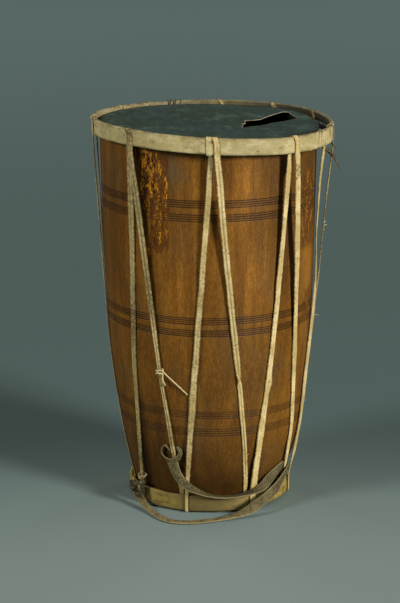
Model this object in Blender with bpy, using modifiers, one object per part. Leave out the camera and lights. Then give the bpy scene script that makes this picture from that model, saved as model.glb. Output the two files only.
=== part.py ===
"""Conical drum: a hollow wooden shell with a skin at each end, held by rawhide-covered hoops,
zigzag rawhide lacing from hoop to hoop, and a leather carrying strap. Metres, +Z up, standing on its
small end, front towards -Y. Azimuths are in degrees round the shell's axis, 0 at the front."""

import math

import bmesh
import bpy
import numpy as np
from mathutils import Vector

# Shell: outer radius up its height (the last point is above the rim), its wall and the cut of the rim
SHELL_PROFILE = [
    (0.0010, 0.0880), (0.0220, 0.0924), (0.0420, 0.0972), (0.0820, 0.1055), (0.1420, 0.1148), (0.2020, 0.1220),
    (0.2620, 0.1258), (0.3220, 0.1283), (0.3820, 0.1299), (0.4420, 0.1313), (0.4800, 0.1320),
]
# The shell isn't true: how far its right side stands out beyond the round, up its height
FULL_SIDE = [
    (0.0010, 0.0), (0.0260, 0.0), (0.0360, 0.0022), (0.0480, 0.0052), (0.0640, 0.0070), (0.0800, 0.0076), (0.1250, 0.0070),
    (0.1600, 0.0050), (0.2000, 0.0033), (0.2500, 0.0018), (0.3000, 0.0006), (0.3600, 0.0), (0.4800, 0.0),
]
FULL_MIDDLE = 96.0
FULL_REACH = [(0.047, 24.0), (0.085, 60.0)]  # degrees to each side, by height
SHELL_WALL = 0.012
SHELL_STEPS = 60
RIM_HEIGHT = 0.4630
RIM_SLOPE = 0.022  # the rim falls this much per metre towards +X
# Incised bands: middle height of each, six in three pairs
BAND_HEIGHTS = [0.3887, 0.3721, 0.2474, 0.2324, 0.1281, 0.1059]
BAND_HALF_WIDTH = 0.0042
BAND_DEPTH = 0.0005

SKIN = 0.0008
GAP = 0.0003  # clearance between pieces that touch on the real drum

# Top hoop: a bent wooden band in a rawhide cover, out of true with the shell
HOOP_SHIFT = 0.005
HOOP_OUTER_RADIUS = 0.1456
HOOP_WALL = 0.0050
HOOP_TOP = 0.4688
HOOP_DEPTH = 0.0196
HOOP_TILT_X = -0.029
HOOP_TILT_Y = -0.005
HOOP_SADDLE = 0.175
HOOP_STEPS = 60
RING_STEPS = 48
COVER = 0.0007

# Bottom ring: the same make, smaller and true
RING_OUTER_RADIUS = 0.0991
RING_WALL = 0.0045
RING_BOTTOM = 0.0020
RING_DEPTH = 0.0198

# Tear in the playing skin: outline in plan
TEAR = [
    (0.0389, -0.0263), (0.0446, 0.0173), (0.0628, 0.0193), (0.0760, 0.0503), (0.0928, 0.0747), (0.0991, 0.0754),
    (0.1033, 0.0571), (0.1099, 0.0393), (0.0996, 0.0271), (0.0770, 0.0064), (0.0595, -0.0170), (0.0436, -0.0293),
]

# Lacing: azimuth of each loop's two strands at heights 0.45, 0.30, 0.15 and 0.02. The first strand comes
# up outside the ring and inside the hoop, the second goes down outside the hoop and inside the ring.
LACE_HEIGHTS = [0.45, 0.30, 0.15, 0.02]
LACE_WIDTH = 0.0070
LACE_THICKNESS = 0.0015
LACES = [
    ((-90.0, -96.0, -101.0, -105.5), (-77.2, -81.0, -82.0, -79.0)),
    ((-43.1, -44.6, -48.7, -54.3), (-39.9, -33.8, -27.0, -20.5)),
    ((1.3, -3.6, -9.7, -16.0), (3.6, 9.8, 18.6, 28.0)),
    ((41.8, 39.6, 35.9, 31.8), (42.8, 50.8, 59.2, 69.6)),
    ((75.0, 83.5, 74.5, 79.0), (83.0, 88.5, 101.0, 113.0)),
    ((115.9, 116.0, 117.5, 119.5), (119.9, 123.5, 127.5, 131.5)),
    ((144.0, 141.5, 138.5, 136.0), (147.5, 151.0, 155.0, 159.5)),
    ((172.2, 169.8, 167.0, 164.0), (175.7, 180.5, 186.0, 191.5)),
    ((210.0, 206.0, 201.0, 196.0), (213.5, 215.0, 217.0, 219.5)),
    ((231.0, 229.0, 226.5, 224.0), (234.5, 239.0, 244.5, 250.0)),
]
# Where the strap or the tie thread passes behind a strand: loop, height, distance from the shell
LIFTS = [(1, 0.0820, 0.0038), (1, 0.0910, 0.0038), (1, 0.1820, 0.0036), (3, 0.0330, 0.0040), (3, 0.0490, 0.0040)]

# Carrying strap: azimuth, radius, height and how far its face turns from facing out (0) to facing up (1)
STRAP_WIDTH = 0.0110
STRAP_THICKNESS = 0.0022
STRAP = [
    (-24.8, 0.1075, 0.0655, 0.00), (-24.3, 0.1068, 0.0626, 0.00), (-21.0, 0.1067, 0.0492, 0.12),
    (-15.3, 0.1088, 0.0384, 0.48), (-7.5, 0.1074, 0.0306, 0.74), (0.4, 0.1062, 0.0252, 0.94),
    (8.3, 0.1056, 0.0228, 1.00), (15.1, 0.1058, 0.0226, 1.00), (22.0, 0.1072, 0.0240, 0.96),
    (28.6, 0.1088, 0.0262, 0.86), (36.0, 0.1076, 0.0292, 0.62), (46.8, 0.1020, 0.0358, 0.20),
    (56.0, 0.0998, 0.0400, -0.06), (62.5, 0.0989, 0.0412, -0.14), (68.0, 0.0987, 0.0410, -0.15),
    (71.8, 0.0990, 0.0402, -0.15), (73.3, 0.1006, 0.0388, -0.15), (71.8, 0.1023, 0.0370, -0.15),
    (67.0, 0.1027, 0.0350, -0.14), (59.0, 0.1048, 0.0312, -0.10), (48.5, 0.1098, 0.0252, 0.04),
    (39.0, 0.1142, 0.0196, 0.18), (29.8, 0.1188, 0.0138, 0.38), (21.8, 0.1210, 0.0076, 0.62),
    (15.0, 0.1214, 0.0040, 0.88), (7.0, 0.1236, 0.0018, 1.00), (-2.4, 0.1299, 0.0016, 1.00),
    (-10.9, 0.1366, 0.0016, 1.00), (-19.0, 0.1380, 0.0016, 1.00), (-26.7, 0.1310, 0.0016, 1.00),
    (-34.0, 0.1220, 0.0020, 1.00), (-40.5, 0.1164, 0.0042, 0.95), (-46.0, 0.1128, 0.0080, 0.82),
    (-50.5, 0.1108, 0.0124, 0.55), (-53.6, 0.1099, 0.0172, 0.25), (-55.0, 0.1096, 0.0225, 0.00),
    (-55.1, 0.1094, 0.0305, 0.00),
]
# Slit end of the strap, open round the lace: azimuth, distance from the shell, height
EYE_WIDTH = 0.0044
EYE_THICKNESS = 0.0016
EYE = [
    (-25.2, 0.0056, 0.0665), (-29.4, 0.0045, 0.0702), (-30.7, 0.0036, 0.0776), (-29.2, 0.0024, 0.0850),
    (-26.0, 0.0014, 0.0880), (-22.0, 0.0014, 0.0876), (-19.2, 0.0026, 0.0838), (-18.6, 0.0042, 0.0780),
    (-21.0, 0.0058, 0.0703),
]


def smooth(points, at):
    """Values at the given places on a smooth curve through (place, value) points."""
    x, y = np.array(sorted(points), float).T
    slope = np.gradient(y, x)
    k = np.clip(np.searchsorted(x, at) - 1, 0, len(x) - 2)
    h = x[k + 1] - x[k]
    t = (np.asarray(at, float) - x[k]) / h
    start = (1 + 2 * t) * (1 - t) ** 2 * y[k] + t * (1 - t) ** 2 * h * slope[k]
    return start + t * t * (3 - 2 * t) * y[k + 1] + t * t * (t - 1) * h * slope[k + 1]


def shell_radius(height):
    return smooth(SHELL_PROFILE, height)


def polar(azimuth, radius, height):
    a = math.radians(azimuth)
    return Vector((radius * math.sin(a), -radius * math.cos(a), height))


def fullness(azimuth, height):
    """How far the shell stands out beyond the round here."""
    reach = float(np.interp(height, *np.array(FULL_REACH).T))
    away = min(abs((azimuth - FULL_MIDDLE + 180) % 360 - 180) / reach, 1)
    return max(0.0, float(smooth(FULL_SIDE, height))) * math.cos(away * math.pi / 2) ** 2


def hoop_lift(x, y):
    """How far the hoop stands above or below its mean height at this place in plan."""
    return HOOP_TILT_X * (x - HOOP_SHIFT) + HOOP_TILT_Y * y + HOOP_SADDLE * (x - HOOP_SHIFT) * y


def hoop_point(azimuth, radius, depth):
    """A point this far from the hoop's own axis and this far below its top edge."""
    a = math.radians(azimuth)
    across = HOOP_SHIFT * math.cos(a)
    from_shell = HOOP_SHIFT * math.sin(a) + math.sqrt(radius**2 - across**2)
    point = polar(azimuth, from_shell, HOOP_TOP - depth)
    point.z += hoop_lift(point.x, point.y)
    return point


def material(name, colour, roughness):
    made = bpy.data.materials.new(name)
    made.use_nodes = True
    shader = made.node_tree.nodes["Principled BSDF"]
    shader.inputs["Base Color"].default_value = (*colour, 1)
    shader.inputs["Roughness"].default_value = roughness
    return made


def add(name, data, collection, look=None):
    obj = bpy.data.objects.new(name, data)
    collection.objects.link(obj)
    if look:
        data.materials.append(look)
    return obj


def turned(name, profile, steps, collection, look=None, closed=True):
    """A profile of (radius, height) points turned about +Z. A closed one runs down its outer side."""
    mesh = bpy.data.meshes.new(name)
    count = len(profile)
    edges = [(i, i + 1) for i in range(count - 1)] + ([(count - 1, 0)] if closed else [])
    mesh.from_pydata([(r, 0, z) for r, z in profile], edges, [])
    obj = add(name, mesh, collection, look)
    screw = obj.modifiers.new("turn", "SCREW")
    screw.steps = screw.render_steps = steps
    screw.use_merge_vertices = True
    screw.merge_threshold = 1e-5
    return obj


def shaped(obj, move):
    """Fixes the object's modifiers in its mesh, then moves each point by the function given."""
    bpy.context.view_layer.update()
    mesh = bpy.data.meshes.new_from_object(obj.evaluated_get(bpy.context.evaluated_depsgraph_get()))
    obj.modifiers.clear()
    obj.data = mesh
    for vertex in mesh.vertices:
        vertex.co = move(vertex.co)
    return obj


def ribbon(name, centres, across, width, thickness, collection, look=None, ring=False):
    """A strip of hide along a line: a flat surface of that width, given its thickness."""
    bm = bmesh.new()
    rows = []
    for centre, side in zip(centres, across):
        rows.append([bm.verts.new(centre + side * (k * width)) for k in (-0.5, 0.5)])
    if ring:
        rows.append(rows[0])
    for (a, b), (c, d) in zip(rows, rows[1:]):
        bm.faces.new((a, b, d, c))
    mesh = bpy.data.meshes.new(name)
    bm.to_mesh(mesh)
    bm.free()
    obj = add(name, mesh, collection, look)
    solid = obj.modifiers.new("thickness", "SOLIDIFY")
    solid.thickness = thickness
    solid.offset = 0
    solid.use_even_offset = True
    return obj


def tube(name, points, radius, collection, look, sides=1):
    curve = bpy.data.curves.new(name, "CURVE")
    curve.dimensions = "3D"
    curve.bevel_depth = radius
    curve.bevel_resolution = sides
    curve.use_fill_caps = True
    line = curve.splines.new("POLY")
    line.points.add(len(points) - 1)
    for place, point in zip(line.points, points):
        place.co = (*point, 1)
    return add(name, curve, collection, look)


def directions(points, ring=False):
    """Unit direction of travel at each point of a line."""
    count = len(points)
    if ring:
        return [(points[(i + 1) % count] - points[i - 1]).normalized() for i in range(count)]
    return [(points[min(i + 1, count - 1)] - points[max(i - 1, 0)]).normalized() for i in range(count)]


def boolean(obj, cutter, operation):
    step = obj.modifiers.new(operation.lower(), "BOOLEAN")
    step.operation = operation
    step.solver = "EXACT"
    step.object = cutter
    cutter.hide_render = True
    cutter.display_type = "WIRE"
    return step


for old in list(bpy.data.objects):
    bpy.data.objects.remove(old)
drum = bpy.data.collections.new("conical_drum")
helpers = bpy.data.collections.new("helpers")
for group in (drum, helpers):
    bpy.context.scene.collection.children.link(group)

wood = material("shell_wood", (0.14, 0.06, 0.018), 0.55)
hoop_wood = material("hoop_wood", (0.25, 0.15, 0.07), 0.7)
skin = material("drum_skin", (0.032, 0.042, 0.034), 0.6)
rawhide = material("rawhide", (0.42, 0.34, 0.18), 0.6)
thong = material("lace_rawhide", (0.46, 0.38, 0.20), 0.55)
leather = material("strap_leather", (0.17, 0.15, 0.10), 0.85)
thread = material("thread", (0.30, 0.26, 0.15), 0.8)


# Shell, with the bands cut in and the rim cut off out of square
def shell_profile():
    levels = [0.001, 0.012, 0.022, 0.032, 0.044, 0.062, 0.082, 0.158, 0.180, 0.205, 0.285, 0.330, 0.430, 0.478]
    outer = [(z, shell_radius(z)) for z in levels]
    for band in BAND_HEIGHTS:
        for step, depth in ((-1, 0), (0, BAND_DEPTH), (1, 0)):
            z = band + step * BAND_HALF_WIDTH
            outer.append((z, shell_radius(z) - depth))
    inner = [(z, shell_radius(z) - SHELL_WALL) for z in (0.001, 0.046, 0.08, 0.18, 0.478)]
    return [(r, z) for z, r in sorted(outer, reverse=True)] + [(r, z) for z, r in inner]


def on_the_full_side(point):
    """Moves a point of the round shell out where the shell is fuller."""
    azimuth = math.degrees(math.atan2(point.x, -point.y))
    return polar(azimuth, math.hypot(point.x, point.y) + fullness(azimuth, point.z), point.z)


shell = turned("shell", shell_profile(), SHELL_STEPS, drum, wood)
shaped(shell, on_the_full_side)
above = bmesh.new()
bmesh.ops.create_cube(above, size=1)
for corner in above.verts:
    x, y, top = corner.co.x * 0.4, corner.co.y * 0.4, corner.co.z > 0
    corner.co = (x, y, 0.52 if top else RIM_HEIGHT - RIM_SLOPE * x)
cut_mesh = bpy.data.meshes.new("rim_cut")
above.to_mesh(cut_mesh)
above.free()
boolean(shell, add("rim_cut", cut_mesh, helpers), "DIFFERENCE")


# Skins: a disc over the end of the shell with a collar down its side
def skin_profile(height, end, collar):
    """Skin over an end at this height; end is +1 at the top and -1 at the bottom."""
    under = height + end * GAP
    face = under + end * SKIN
    levels = [height - end * collar * share for share in (0.3, 0.65, 1.0)]
    side = [(shell_radius(z) + 2 * GAP + SKIN, z) for z in levels]
    edge = side[0][0]
    line = [(0, face), (edge - 0.0006, face), (edge, face - end * 0.0006)] + side
    line += [(r - SKIN, z) for r, z in side[::-1]] + [(edge - SKIN, under), (0, under)]
    return line if end > 0 else line[::-1]


def on_the_rim(point):
    """Turns a level skin at the rim's height into the slope of the rim."""
    return Vector((point.x, point.y, point.z - RIM_SLOPE * point.x))


top_head = turned("top_head", skin_profile(RIM_HEIGHT, 1, 0.012), SHELL_STEPS, drum, skin, closed=False)
shaped(top_head, on_the_rim)
tear = bmesh.new()
outline = [tear.verts.new((x, y, 0.44)) for x, y in TEAR]
lens = tear.faces.new(outline)
drawn = bmesh.ops.extrude_face_region(tear, geom=[lens])
for piece in drawn["geom"]:
    if isinstance(piece, bmesh.types.BMVert):
        piece.co.z = 0.50
bmesh.ops.recalc_face_normals(tear, faces=tear.faces)
tear_mesh = bpy.data.meshes.new("tear_cut")
tear.to_mesh(tear_mesh)
tear.free()
boolean(top_head, add("tear_cut", tear_mesh, helpers), "DIFFERENCE")
bottom_head = turned("bottom_head", skin_profile(0.0011, -1, 0.008), SHELL_STEPS, drum, skin, closed=False)


# Hoops: a bent wooden band, and a rawhide cover lapped round it with its edges meeting on the inner side
def band_profile(outer, wall, top, depth):
    inner, low = outer - wall, top - depth
    return [(inner, top), (outer, top), (outer, low), (inner, low)]


def cover_profile(outer, wall, top, depth):
    """Middle line of the cover, from its upper edge over the top, down the outside and round to its lower edge."""
    half = COVER / 2
    out, into = outer - half, outer - wall + half
    high, low, c = top - half, top - depth + half, 0.0010
    return [
        (into, high - 0.45 * depth), (into, high - c), (into + c, high), (out - c, high), (out, high - c),
        (out, low + c), (out - c, low), (into, low), (into, high - 0.55 * depth),
    ]


def covered_hoop(name, outer, wall, top, depth, steps, move):
    inset = COVER + 2 * GAP
    core = band_profile(outer - inset, wall - 2 * inset, top - inset, depth - 2 * inset)
    shaped(turned(name + "_core", core, steps, drum, hoop_wood), move)
    cover = turned(name + "_cover", cover_profile(outer, wall, top, depth), steps, drum, rawhide, closed=False)
    thick = cover.modifiers.new("thickness", "SOLIDIFY")
    thick.thickness = COVER
    thick.offset = 0
    thick.use_even_offset = True
    shaped(cover, move)


def on_the_hoop(point):
    x = point.x + HOOP_SHIFT
    return Vector((x, point.y, point.z + hoop_lift(x, point.y)))


covered_hoop("top_hoop", HOOP_OUTER_RADIUS, HOOP_WALL, HOOP_TOP, HOOP_DEPTH, HOOP_STEPS, on_the_hoop)
ring_top = RING_BOTTOM + RING_DEPTH
covered_hoop("bottom_hoop", RING_OUTER_RADIUS, RING_WALL, ring_top, RING_DEPTH, RING_STEPS, lambda point: point)


# Lacing: ten lengths of rawhide thong, each up from the bottom ring, over the hoop and down again
def taut(loop, knots, start, end):
    """(height, radius) of a strand pulled tight over the shell between its two ends."""
    off = GAP + 0.0001 + LACE_THICKNESS / 2
    places = [(z, off) for z in np.linspace(end[0] + 0.001, start[0] - 0.002, 60)]
    places += [(z, out) for at, z, out in LIFTS if at == loop]
    points = [(z, shell_radius(z) + fullness(float(smooth(knots, z)), z) + out) for z, out in places]
    hull = []
    for z, r in sorted(points + [start, end]):
        while len(hull) > 1:
            (z0, r0), (z1, r1) = hull[-2:]
            if (z1 - z0) * (r - r0) < (r1 - r0) * (z - z0):
                break
            hull.pop()
        hull.append((z, r))
    return np.array(hull).T


def strand(loop, azimuths, hoop_radius, foot):
    """Points of one strand from just below the hoop down to its foot at the ring."""
    knots = list(zip(LACE_HEIGHTS, azimuths))
    head = hoop_point(azimuths[0], hoop_radius, HOOP_DEPTH)
    top, bottom = (head.z, math.hypot(head.x, head.y)), foot
    heights, radii = taut(0 if loop is None else loop, knots, top, bottom)
    levels = np.concatenate([np.linspace(top[0] - 0.006, 0.07, 9), [0.055, 0.044, 0.034, bottom[0]]])
    full = {0.062, 0.080, 0.100, 0.125, 0.140} if fullness(azimuths[2], 0.100) > 0.0005 else set()
    levels = sorted(set(levels) | full | {z for at, z, out in LIFTS if at == loop}, reverse=True)
    return [polar(float(smooth(knots, z)), float(np.interp(z, heights, radii)), z) for z in levels]


def lace(loop, up, down):
    clear = 3 * GAP + LACE_THICKNESS / 2
    inside, outside = HOOP_OUTER_RADIUS - HOOP_WALL - clear, HOOP_OUTER_RADIUS + clear
    turn, middle = HOOP_WALL / 2 + clear, HOOP_OUTER_RADIUS - HOOP_WALL / 2
    rise, fall = up[0], down[0]
    over = [(rise, inside, HOOP_DEPTH * 0.95), (rise, inside, HOOP_DEPTH * 0.4)]
    for k in range(7):
        bend = math.pi * (1 - k / 6)
        place = rise + (fall - rise) * (0.25 + 0.5 * k / 6)
        over.append((place, middle + turn * math.cos(bend), HOOP_WALL / 2 - turn * math.sin(bend)))
    over += [(fall, outside, HOOP_DEPTH * 0.5), (fall, outside, HOOP_DEPTH * 0.95)]
    rim = [hoop_point(*place) for place in over]
    ring_out = RING_OUTER_RADIUS + GAP + LACE_THICKNESS / 2
    low, high = RING_BOTTOM - GAP - LACE_THICKNESS / 2, RING_BOTTOM + RING_DEPTH
    start = [
        polar(up[3], RING_OUTER_RADIUS - RING_WALL, low), polar(up[3], ring_out - 0.0024, low),
        polar(up[3], ring_out - 0.0008, low + 0.0006), polar(up[3], ring_out, low + 0.0022),
        polar(up[3], ring_out, low + 0.010), polar(up[3], ring_out, high - 0.001),
    ]
    behind = [
        polar(down[3], shell_radius(z) + out, z) for z, out in ((0.0185, 0.0016), (0.0100, 0.0022), (0.0040, 0.0024))
    ]
    rising = strand(None, up, inside, (high + 0.0007, ring_out))
    falling = strand(loop, down, outside, (high + 0.0007, shell_radius(high) + 0.0014))
    line = start + rising[::-1] + rim + falling + behind
    across = []
    for point, along in zip(line, directions(line)):
        round_axis = Vector((-point.y, point.x, 0)).normalized()
        across.append((round_axis - along * round_axis.dot(along)).normalized())
    return ribbon(f"lace_{loop + 1:02d}", line, across, LACE_WIDTH, LACE_THICKNESS, drum, thong)


for loop, (up, down) in enumerate(LACES):
    lace(loop, up, down)


# Lashing that binds the lapped ends of the top hoop, at the back
turns, per_turn, wire = 4, 12, 0.0008
lashing = []
for k in range(turns * per_turn + 1):
    bend = 2 * math.pi * k / per_turn
    reach = (HOOP_WALL / 2 + 0.0028, HOOP_DEPTH / 2 + 0.0020)
    c, s = math.cos(bend), math.sin(bend)
    squared = max(abs(c), abs(s)) ** 0.8
    lashing.append(hoop_point(
        194.4 + 7.6 * k / (turns * per_turn),
        HOOP_OUTER_RADIUS - HOOP_WALL / 2 + reach[0] * c / squared,
        HOOP_DEPTH / 2 - reach[1] * s / squared,
    ))
tube("hoop_lashing", lashing, wire, drum, thread, 0)


# Carrying strap: a leather ribbon with a slit end, round the lacing at the front and lying on the floor
path = [polar(a, r, z) for a, r, z, turn in STRAP]
faces = []
for (a, r, z, turn), along in zip(STRAP, directions(path)):
    face = polar(a, 1, 0) * math.cos(turn * math.pi / 2) + Vector((0, 0, math.sin(turn * math.pi / 2)))
    faces.append(face)
sides = [along.cross(face).normalized() for along, face in zip(directions(path), faces)]
# the fold round the lace turns the face over, so the width keeps its side from there on
for k in range(1, len(sides)):
    if sides[k].dot(sides[k - 1]) < 0:
        sides[k] = -sides[k]
strap = ribbon("carry_strap", path, sides, STRAP_WIDTH, STRAP_THICKNESS, drum, leather)
eye_line = [polar(a, shell_radius(z) + out, z) for a, out, z in EYE]
eye_sides = []
for point, along in zip(eye_line, directions(eye_line, True)):
    outward = Vector((point.x, point.y, 0)).normalized()
    eye_sides.append(along.cross(outward).normalized())
eye = ribbon("strap_eye", eye_line, eye_sides, EYE_WIDTH, EYE_THICKNESS, helpers, leather, ring=True)
boolean(strap, eye, "UNION")

# Knot that ties the strap's other end to the lacing: two wraps round the strap, and a thong round the lace
knot = []
for k in range(25):
    bend = 2 * math.pi * k / 12
    c, s = math.cos(bend), math.sin(bend)
    knot.append(polar(-55.0 + 6.0 * c, 0.1096 + 0.0050 * s, 0.0225 + 0.0040 * (k / 24 - 0.5) * 2))
tube("strap_knot", knot, 0.0018, drum, leather)
hitch = []
for k in range(37):
    bend = 2 * math.pi * k / 12
    c, s = math.cos(bend), math.sin(bend)
    z = 0.0305 + 0.0090 * k / 36
    hitch.append(polar(-53.6 + 3.6 * c, 0.1003 + 0.134 * (z - 0.0225) + 0.0028 * s, z))
tube("lace_hitch", hitch, 0.0011, drum, thread)

# Tie thread: a hitch on the second lace, drawn across to the third, with a loose tail
around = float(smooth(list(zip(LACE_HEIGHTS, LACES[1][1])), 0.182))
tie = [polar(-25.7, 0.1236, 0.1690), polar(-27.2, 0.1256, 0.1755)]
for k in range(14):
    bend = 2 * math.pi * k / 12
    c, s = math.cos(bend), math.sin(bend)
    tie.append(polar(around + 2.6 * c, shell_radius(0.182) + 0.0037 + 0.0024 * s, 0.1806 + 0.0032 * k / 13))
tie += [polar(-23.5, 0.1217, 0.1760), polar(-17.5, 0.1200, 0.1650), polar(-12.2, 0.1185, 0.1545)]
tube("tie_thread", tie, 0.0007, drum, thread)
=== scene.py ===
import math

import bmesh
import bpy
import numpy as np
from mathutils import Euler, Matrix, Vector, geometry, noise


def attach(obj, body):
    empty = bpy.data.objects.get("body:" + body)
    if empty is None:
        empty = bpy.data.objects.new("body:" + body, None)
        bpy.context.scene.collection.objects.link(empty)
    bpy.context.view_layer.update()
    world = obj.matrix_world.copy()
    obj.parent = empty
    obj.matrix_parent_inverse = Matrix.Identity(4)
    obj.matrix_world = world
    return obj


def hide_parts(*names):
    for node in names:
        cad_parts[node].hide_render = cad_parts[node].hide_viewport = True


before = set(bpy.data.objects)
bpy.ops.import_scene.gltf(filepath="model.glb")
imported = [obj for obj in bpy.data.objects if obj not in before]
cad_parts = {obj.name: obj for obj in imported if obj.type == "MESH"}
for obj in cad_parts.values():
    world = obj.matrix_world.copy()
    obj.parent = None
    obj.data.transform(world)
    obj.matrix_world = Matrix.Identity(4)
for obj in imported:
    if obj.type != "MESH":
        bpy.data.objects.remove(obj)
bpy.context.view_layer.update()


# Shell: a tall tube of dark wood, hollowed and tapering to its small end, oiled and darkened by handling.
# Three pairs of bands are cut round it, four fine lines to a band. At upper left a strip has lost its
# surface down to rough golden wood, and there are smaller rough patches at the right.
SHELL = [
    (0.0010, 0.0880), (0.0220, 0.0924), (0.0420, 0.0972), (0.0820, 0.1055), (0.1420, 0.1148), (0.2020, 0.1220),
    (0.2620, 0.1258), (0.3220, 0.1283), (0.3820, 0.1299), (0.4420, 0.1313), (0.4800, 0.1320),
]
# The shell isn't true: how far its right side stands out beyond the round, up its height
FULL_SIDE = [
    (0.0010, 0.0), (0.0260, 0.0), (0.0360, 0.0022), (0.0480, 0.0052), (0.0640, 0.0070), (0.0800, 0.0076),
    (0.1250, 0.0070), (0.1600, 0.0050), (0.2000, 0.0033), (0.2500, 0.0018), (0.3000, 0.0006), (0.3600, 0.0),
    (0.4800, 0.0),
]
FULL_MIDDLE = 96.0
FULL_REACH = [(0.047, 24.0), (0.085, 60.0)]  # degrees to each side, by height
WALL = 0.012
RIM_HEIGHT = 0.4630
RIM_SLOPE = 0.022
RIM_EASE = 0.0008
# The bands' top and bottom lines, and how much a level line leans to the right, by height
BANDS = [(0.3928, 0.3847), (0.3761, 0.3681), (0.2512, 0.2436), (0.2359, 0.2288), (0.1320, 0.1241), (0.1103, 0.1014)]
BAND_LEAN = [(0.001, 0.0), (0.060, -0.010), (0.117, -0.021), (0.190, -0.009), (0.240, -0.006), (0.385, -0.006),
             (0.440, -0.016), (0.463, -0.022)]
LINE_HALF_WIDTH = 0.00074
LINE_DEPTH = 0.00060
LEVEL_STEP = 0.0048
LOWEST_BANDS = 0.14
# Where the wood is made paler (above 0) or darker: azimuth, height, their spreads, and by how many doublings.
# Some are the oil's own uneven tone. The paler ones are painted light, mostly where the right lamp's sheen falls,
# and the narrow dark ones are painted shadows beside the lacing strands, below the strap and at the right edge.
TONES_LIGHT_AND_SHADE = [
    (20, 0.415, 7, 0.045, 0.97), (25, 0.300, 10, 0.055, 0.73), (-16, 0.280, 9, 0.060, 0.48),
    (5, 0.290, 6, 0.060, 0.43), (-9, 0.420, 7, 0.030, 0.10), (70, 0.300, 9, 0.060, 0.80),
    (28, 0.165, 10, 0.050, -0.20), (5, 0.150, 12, 0.050, -0.20), (65, 0.428, 10, 0.030, -0.95),
    (45, 0.330, 5, 0.080, -0.30), (-44, 0.055, 16, 0.050, -0.70), (8, 0.030, 26, 0.022, -1.10),
    (2, 0.066, 15, 0.026, -0.55), (-66, 0.330, 12, 0.150, -0.15), (-39.7, 0.430, 2.4, 0.036, -2.6),
    (-37.7, 0.390, 1.8, 0.024, -2.0), (-35.2, 0.355, 1.5, 0.022, -1.7), (-32.9, 0.318, 1.3, 0.022, -1.5),
    (-30.9, 0.280, 1.2, 0.022, -1.3), (-28.9, 0.242, 1.1, 0.022, -0.9), (-31, 0.240, 4, 0.070, -0.35),
    (46, 0.165, 6, 0.040, -0.25), (92, 0.100, 9, 0.050, -2.4), (33, 0.425, 5, 0.030, -0.35),
    (6, 0.425, 4, 0.030, -0.30), (88, 0.400, 6, 0.080, -1.6), (-6, 0.200, 14, 0.050, -0.20),
    (-48.6, 0.075, 2.2, 0.038, -1.4), (-45.6, 0.125, 1.8, 0.030, -0.9), (-17.5, 0.068, 2.4, 0.022, -1.3),
]
# Where greyish painted sheen lies on the wood: azimuth, height, their spreads, how much
PAINTED_SHEEN = [(-19, 0.425, 6, 0.018, 0.75), (-60, 0.420, 9, 0.030, 0.60), (-14, 0.345, 8, 0.030, 0.30),
        (12, 0.225, 9, 0.060, 0.35), (37, 0.425, 4, 0.035, 0.50), (-6, 0.120, 8, 0.050, 0.40)]


def smooth(points, at):
    """Values at the given places on a smooth curve through (place, value) points."""
    x, y = np.array(sorted(points), float).T
    slope = np.gradient(y, x)
    k = np.clip(np.searchsorted(x, at) - 1, 0, len(x) - 2)
    h = x[k + 1] - x[k]
    t = (np.asarray(at, float) - x[k]) / h
    start = (1 + 2 * t) * (1 - t) ** 2 * y[k] + t * (1 - t) ** 2 * h * slope[k]
    return start + t * t * (3 - 2 * t) * y[k + 1] + t * t * (t - 1) * h * slope[k + 1]


def straight(points, at):
    """Values at the given places on straight lines between (place, value) points."""
    return np.interp(at, *np.array(points, float).T)


def ease(low, high, value):
    """0 below low, 1 above high, and a soft step between."""
    t = min(1.0, max(0.0, (value - low) / (high - low)))
    return t * t * (3 - 2 * t)


def bell(value, middle, spread):
    """1 at the middle, falling softly to 0 on both sides."""
    return math.exp(-(((value - middle) / spread) ** 2))


def shell_radius(height):
    return float(smooth(SHELL, height))


def fullness(azimuth, height):
    """How far the shell stands out beyond the round here."""
    away = min(abs((azimuth - FULL_MIDDLE + 180) % 360 - 180) / float(straight(FULL_REACH, height)), 1)
    return max(0.0, float(smooth(FULL_SIDE, height))) * math.cos(away * math.pi / 2) ** 2


def polar(azimuth, radius, height):
    a = math.radians(azimuth)
    return Vector((radius * math.sin(a), -radius * math.cos(a), height))


def placed(name, data):
    """A new object in the scene."""
    made = bpy.data.objects.new(name, data)
    bpy.context.scene.collection.objects.link(made)
    return made


def loft(name, rows, joined=False):
    """A closed skin over rows of points, each row a closed round of as many points. Joined rows come round to
    the first row again, and others are closed by an end face."""
    rows = np.array([[tuple(point) for point in row] for row in rows], float)
    count, across = rows.shape[:2]
    index = np.arange(count * across).reshape(count, across)
    here = index if joined else index[:-1]
    beyond = np.roll(index, -1, axis=0) if joined else index[1:]
    quads = np.stack([here, np.roll(here, -1, 1), np.roll(beyond, -1, 1), beyond], -1).reshape(-1, 4).tolist()
    if not joined:
        quads += [index[0][::-1].tolist(), index[-1].tolist()]
    mesh = bpy.data.meshes.new(name)
    mesh.from_pydata(rows.reshape(-1, 3).tolist(), [], quads)
    measured = bmesh.new()
    measured.from_mesh(mesh)
    if measured.calc_volume(signed=True) < 0:
        mesh.flip_normals()
    measured.free()
    mesh.shade_smooth()
    return placed(name, mesh)


def mark(made, names, table):
    """Keeps named values for each point of a piece's mesh, or one row for all, for its material to read."""
    names = names.split()
    table = np.array(table, np.float32).reshape(-1, len(names))
    table = np.broadcast_to(table, (len(made.data.vertices), len(names)))
    for name, values in zip(names, table.T):
        made.data.attributes.new(name, "FLOAT", "POINT").data.foreach_set("value", np.ascontiguousarray(values))


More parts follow.
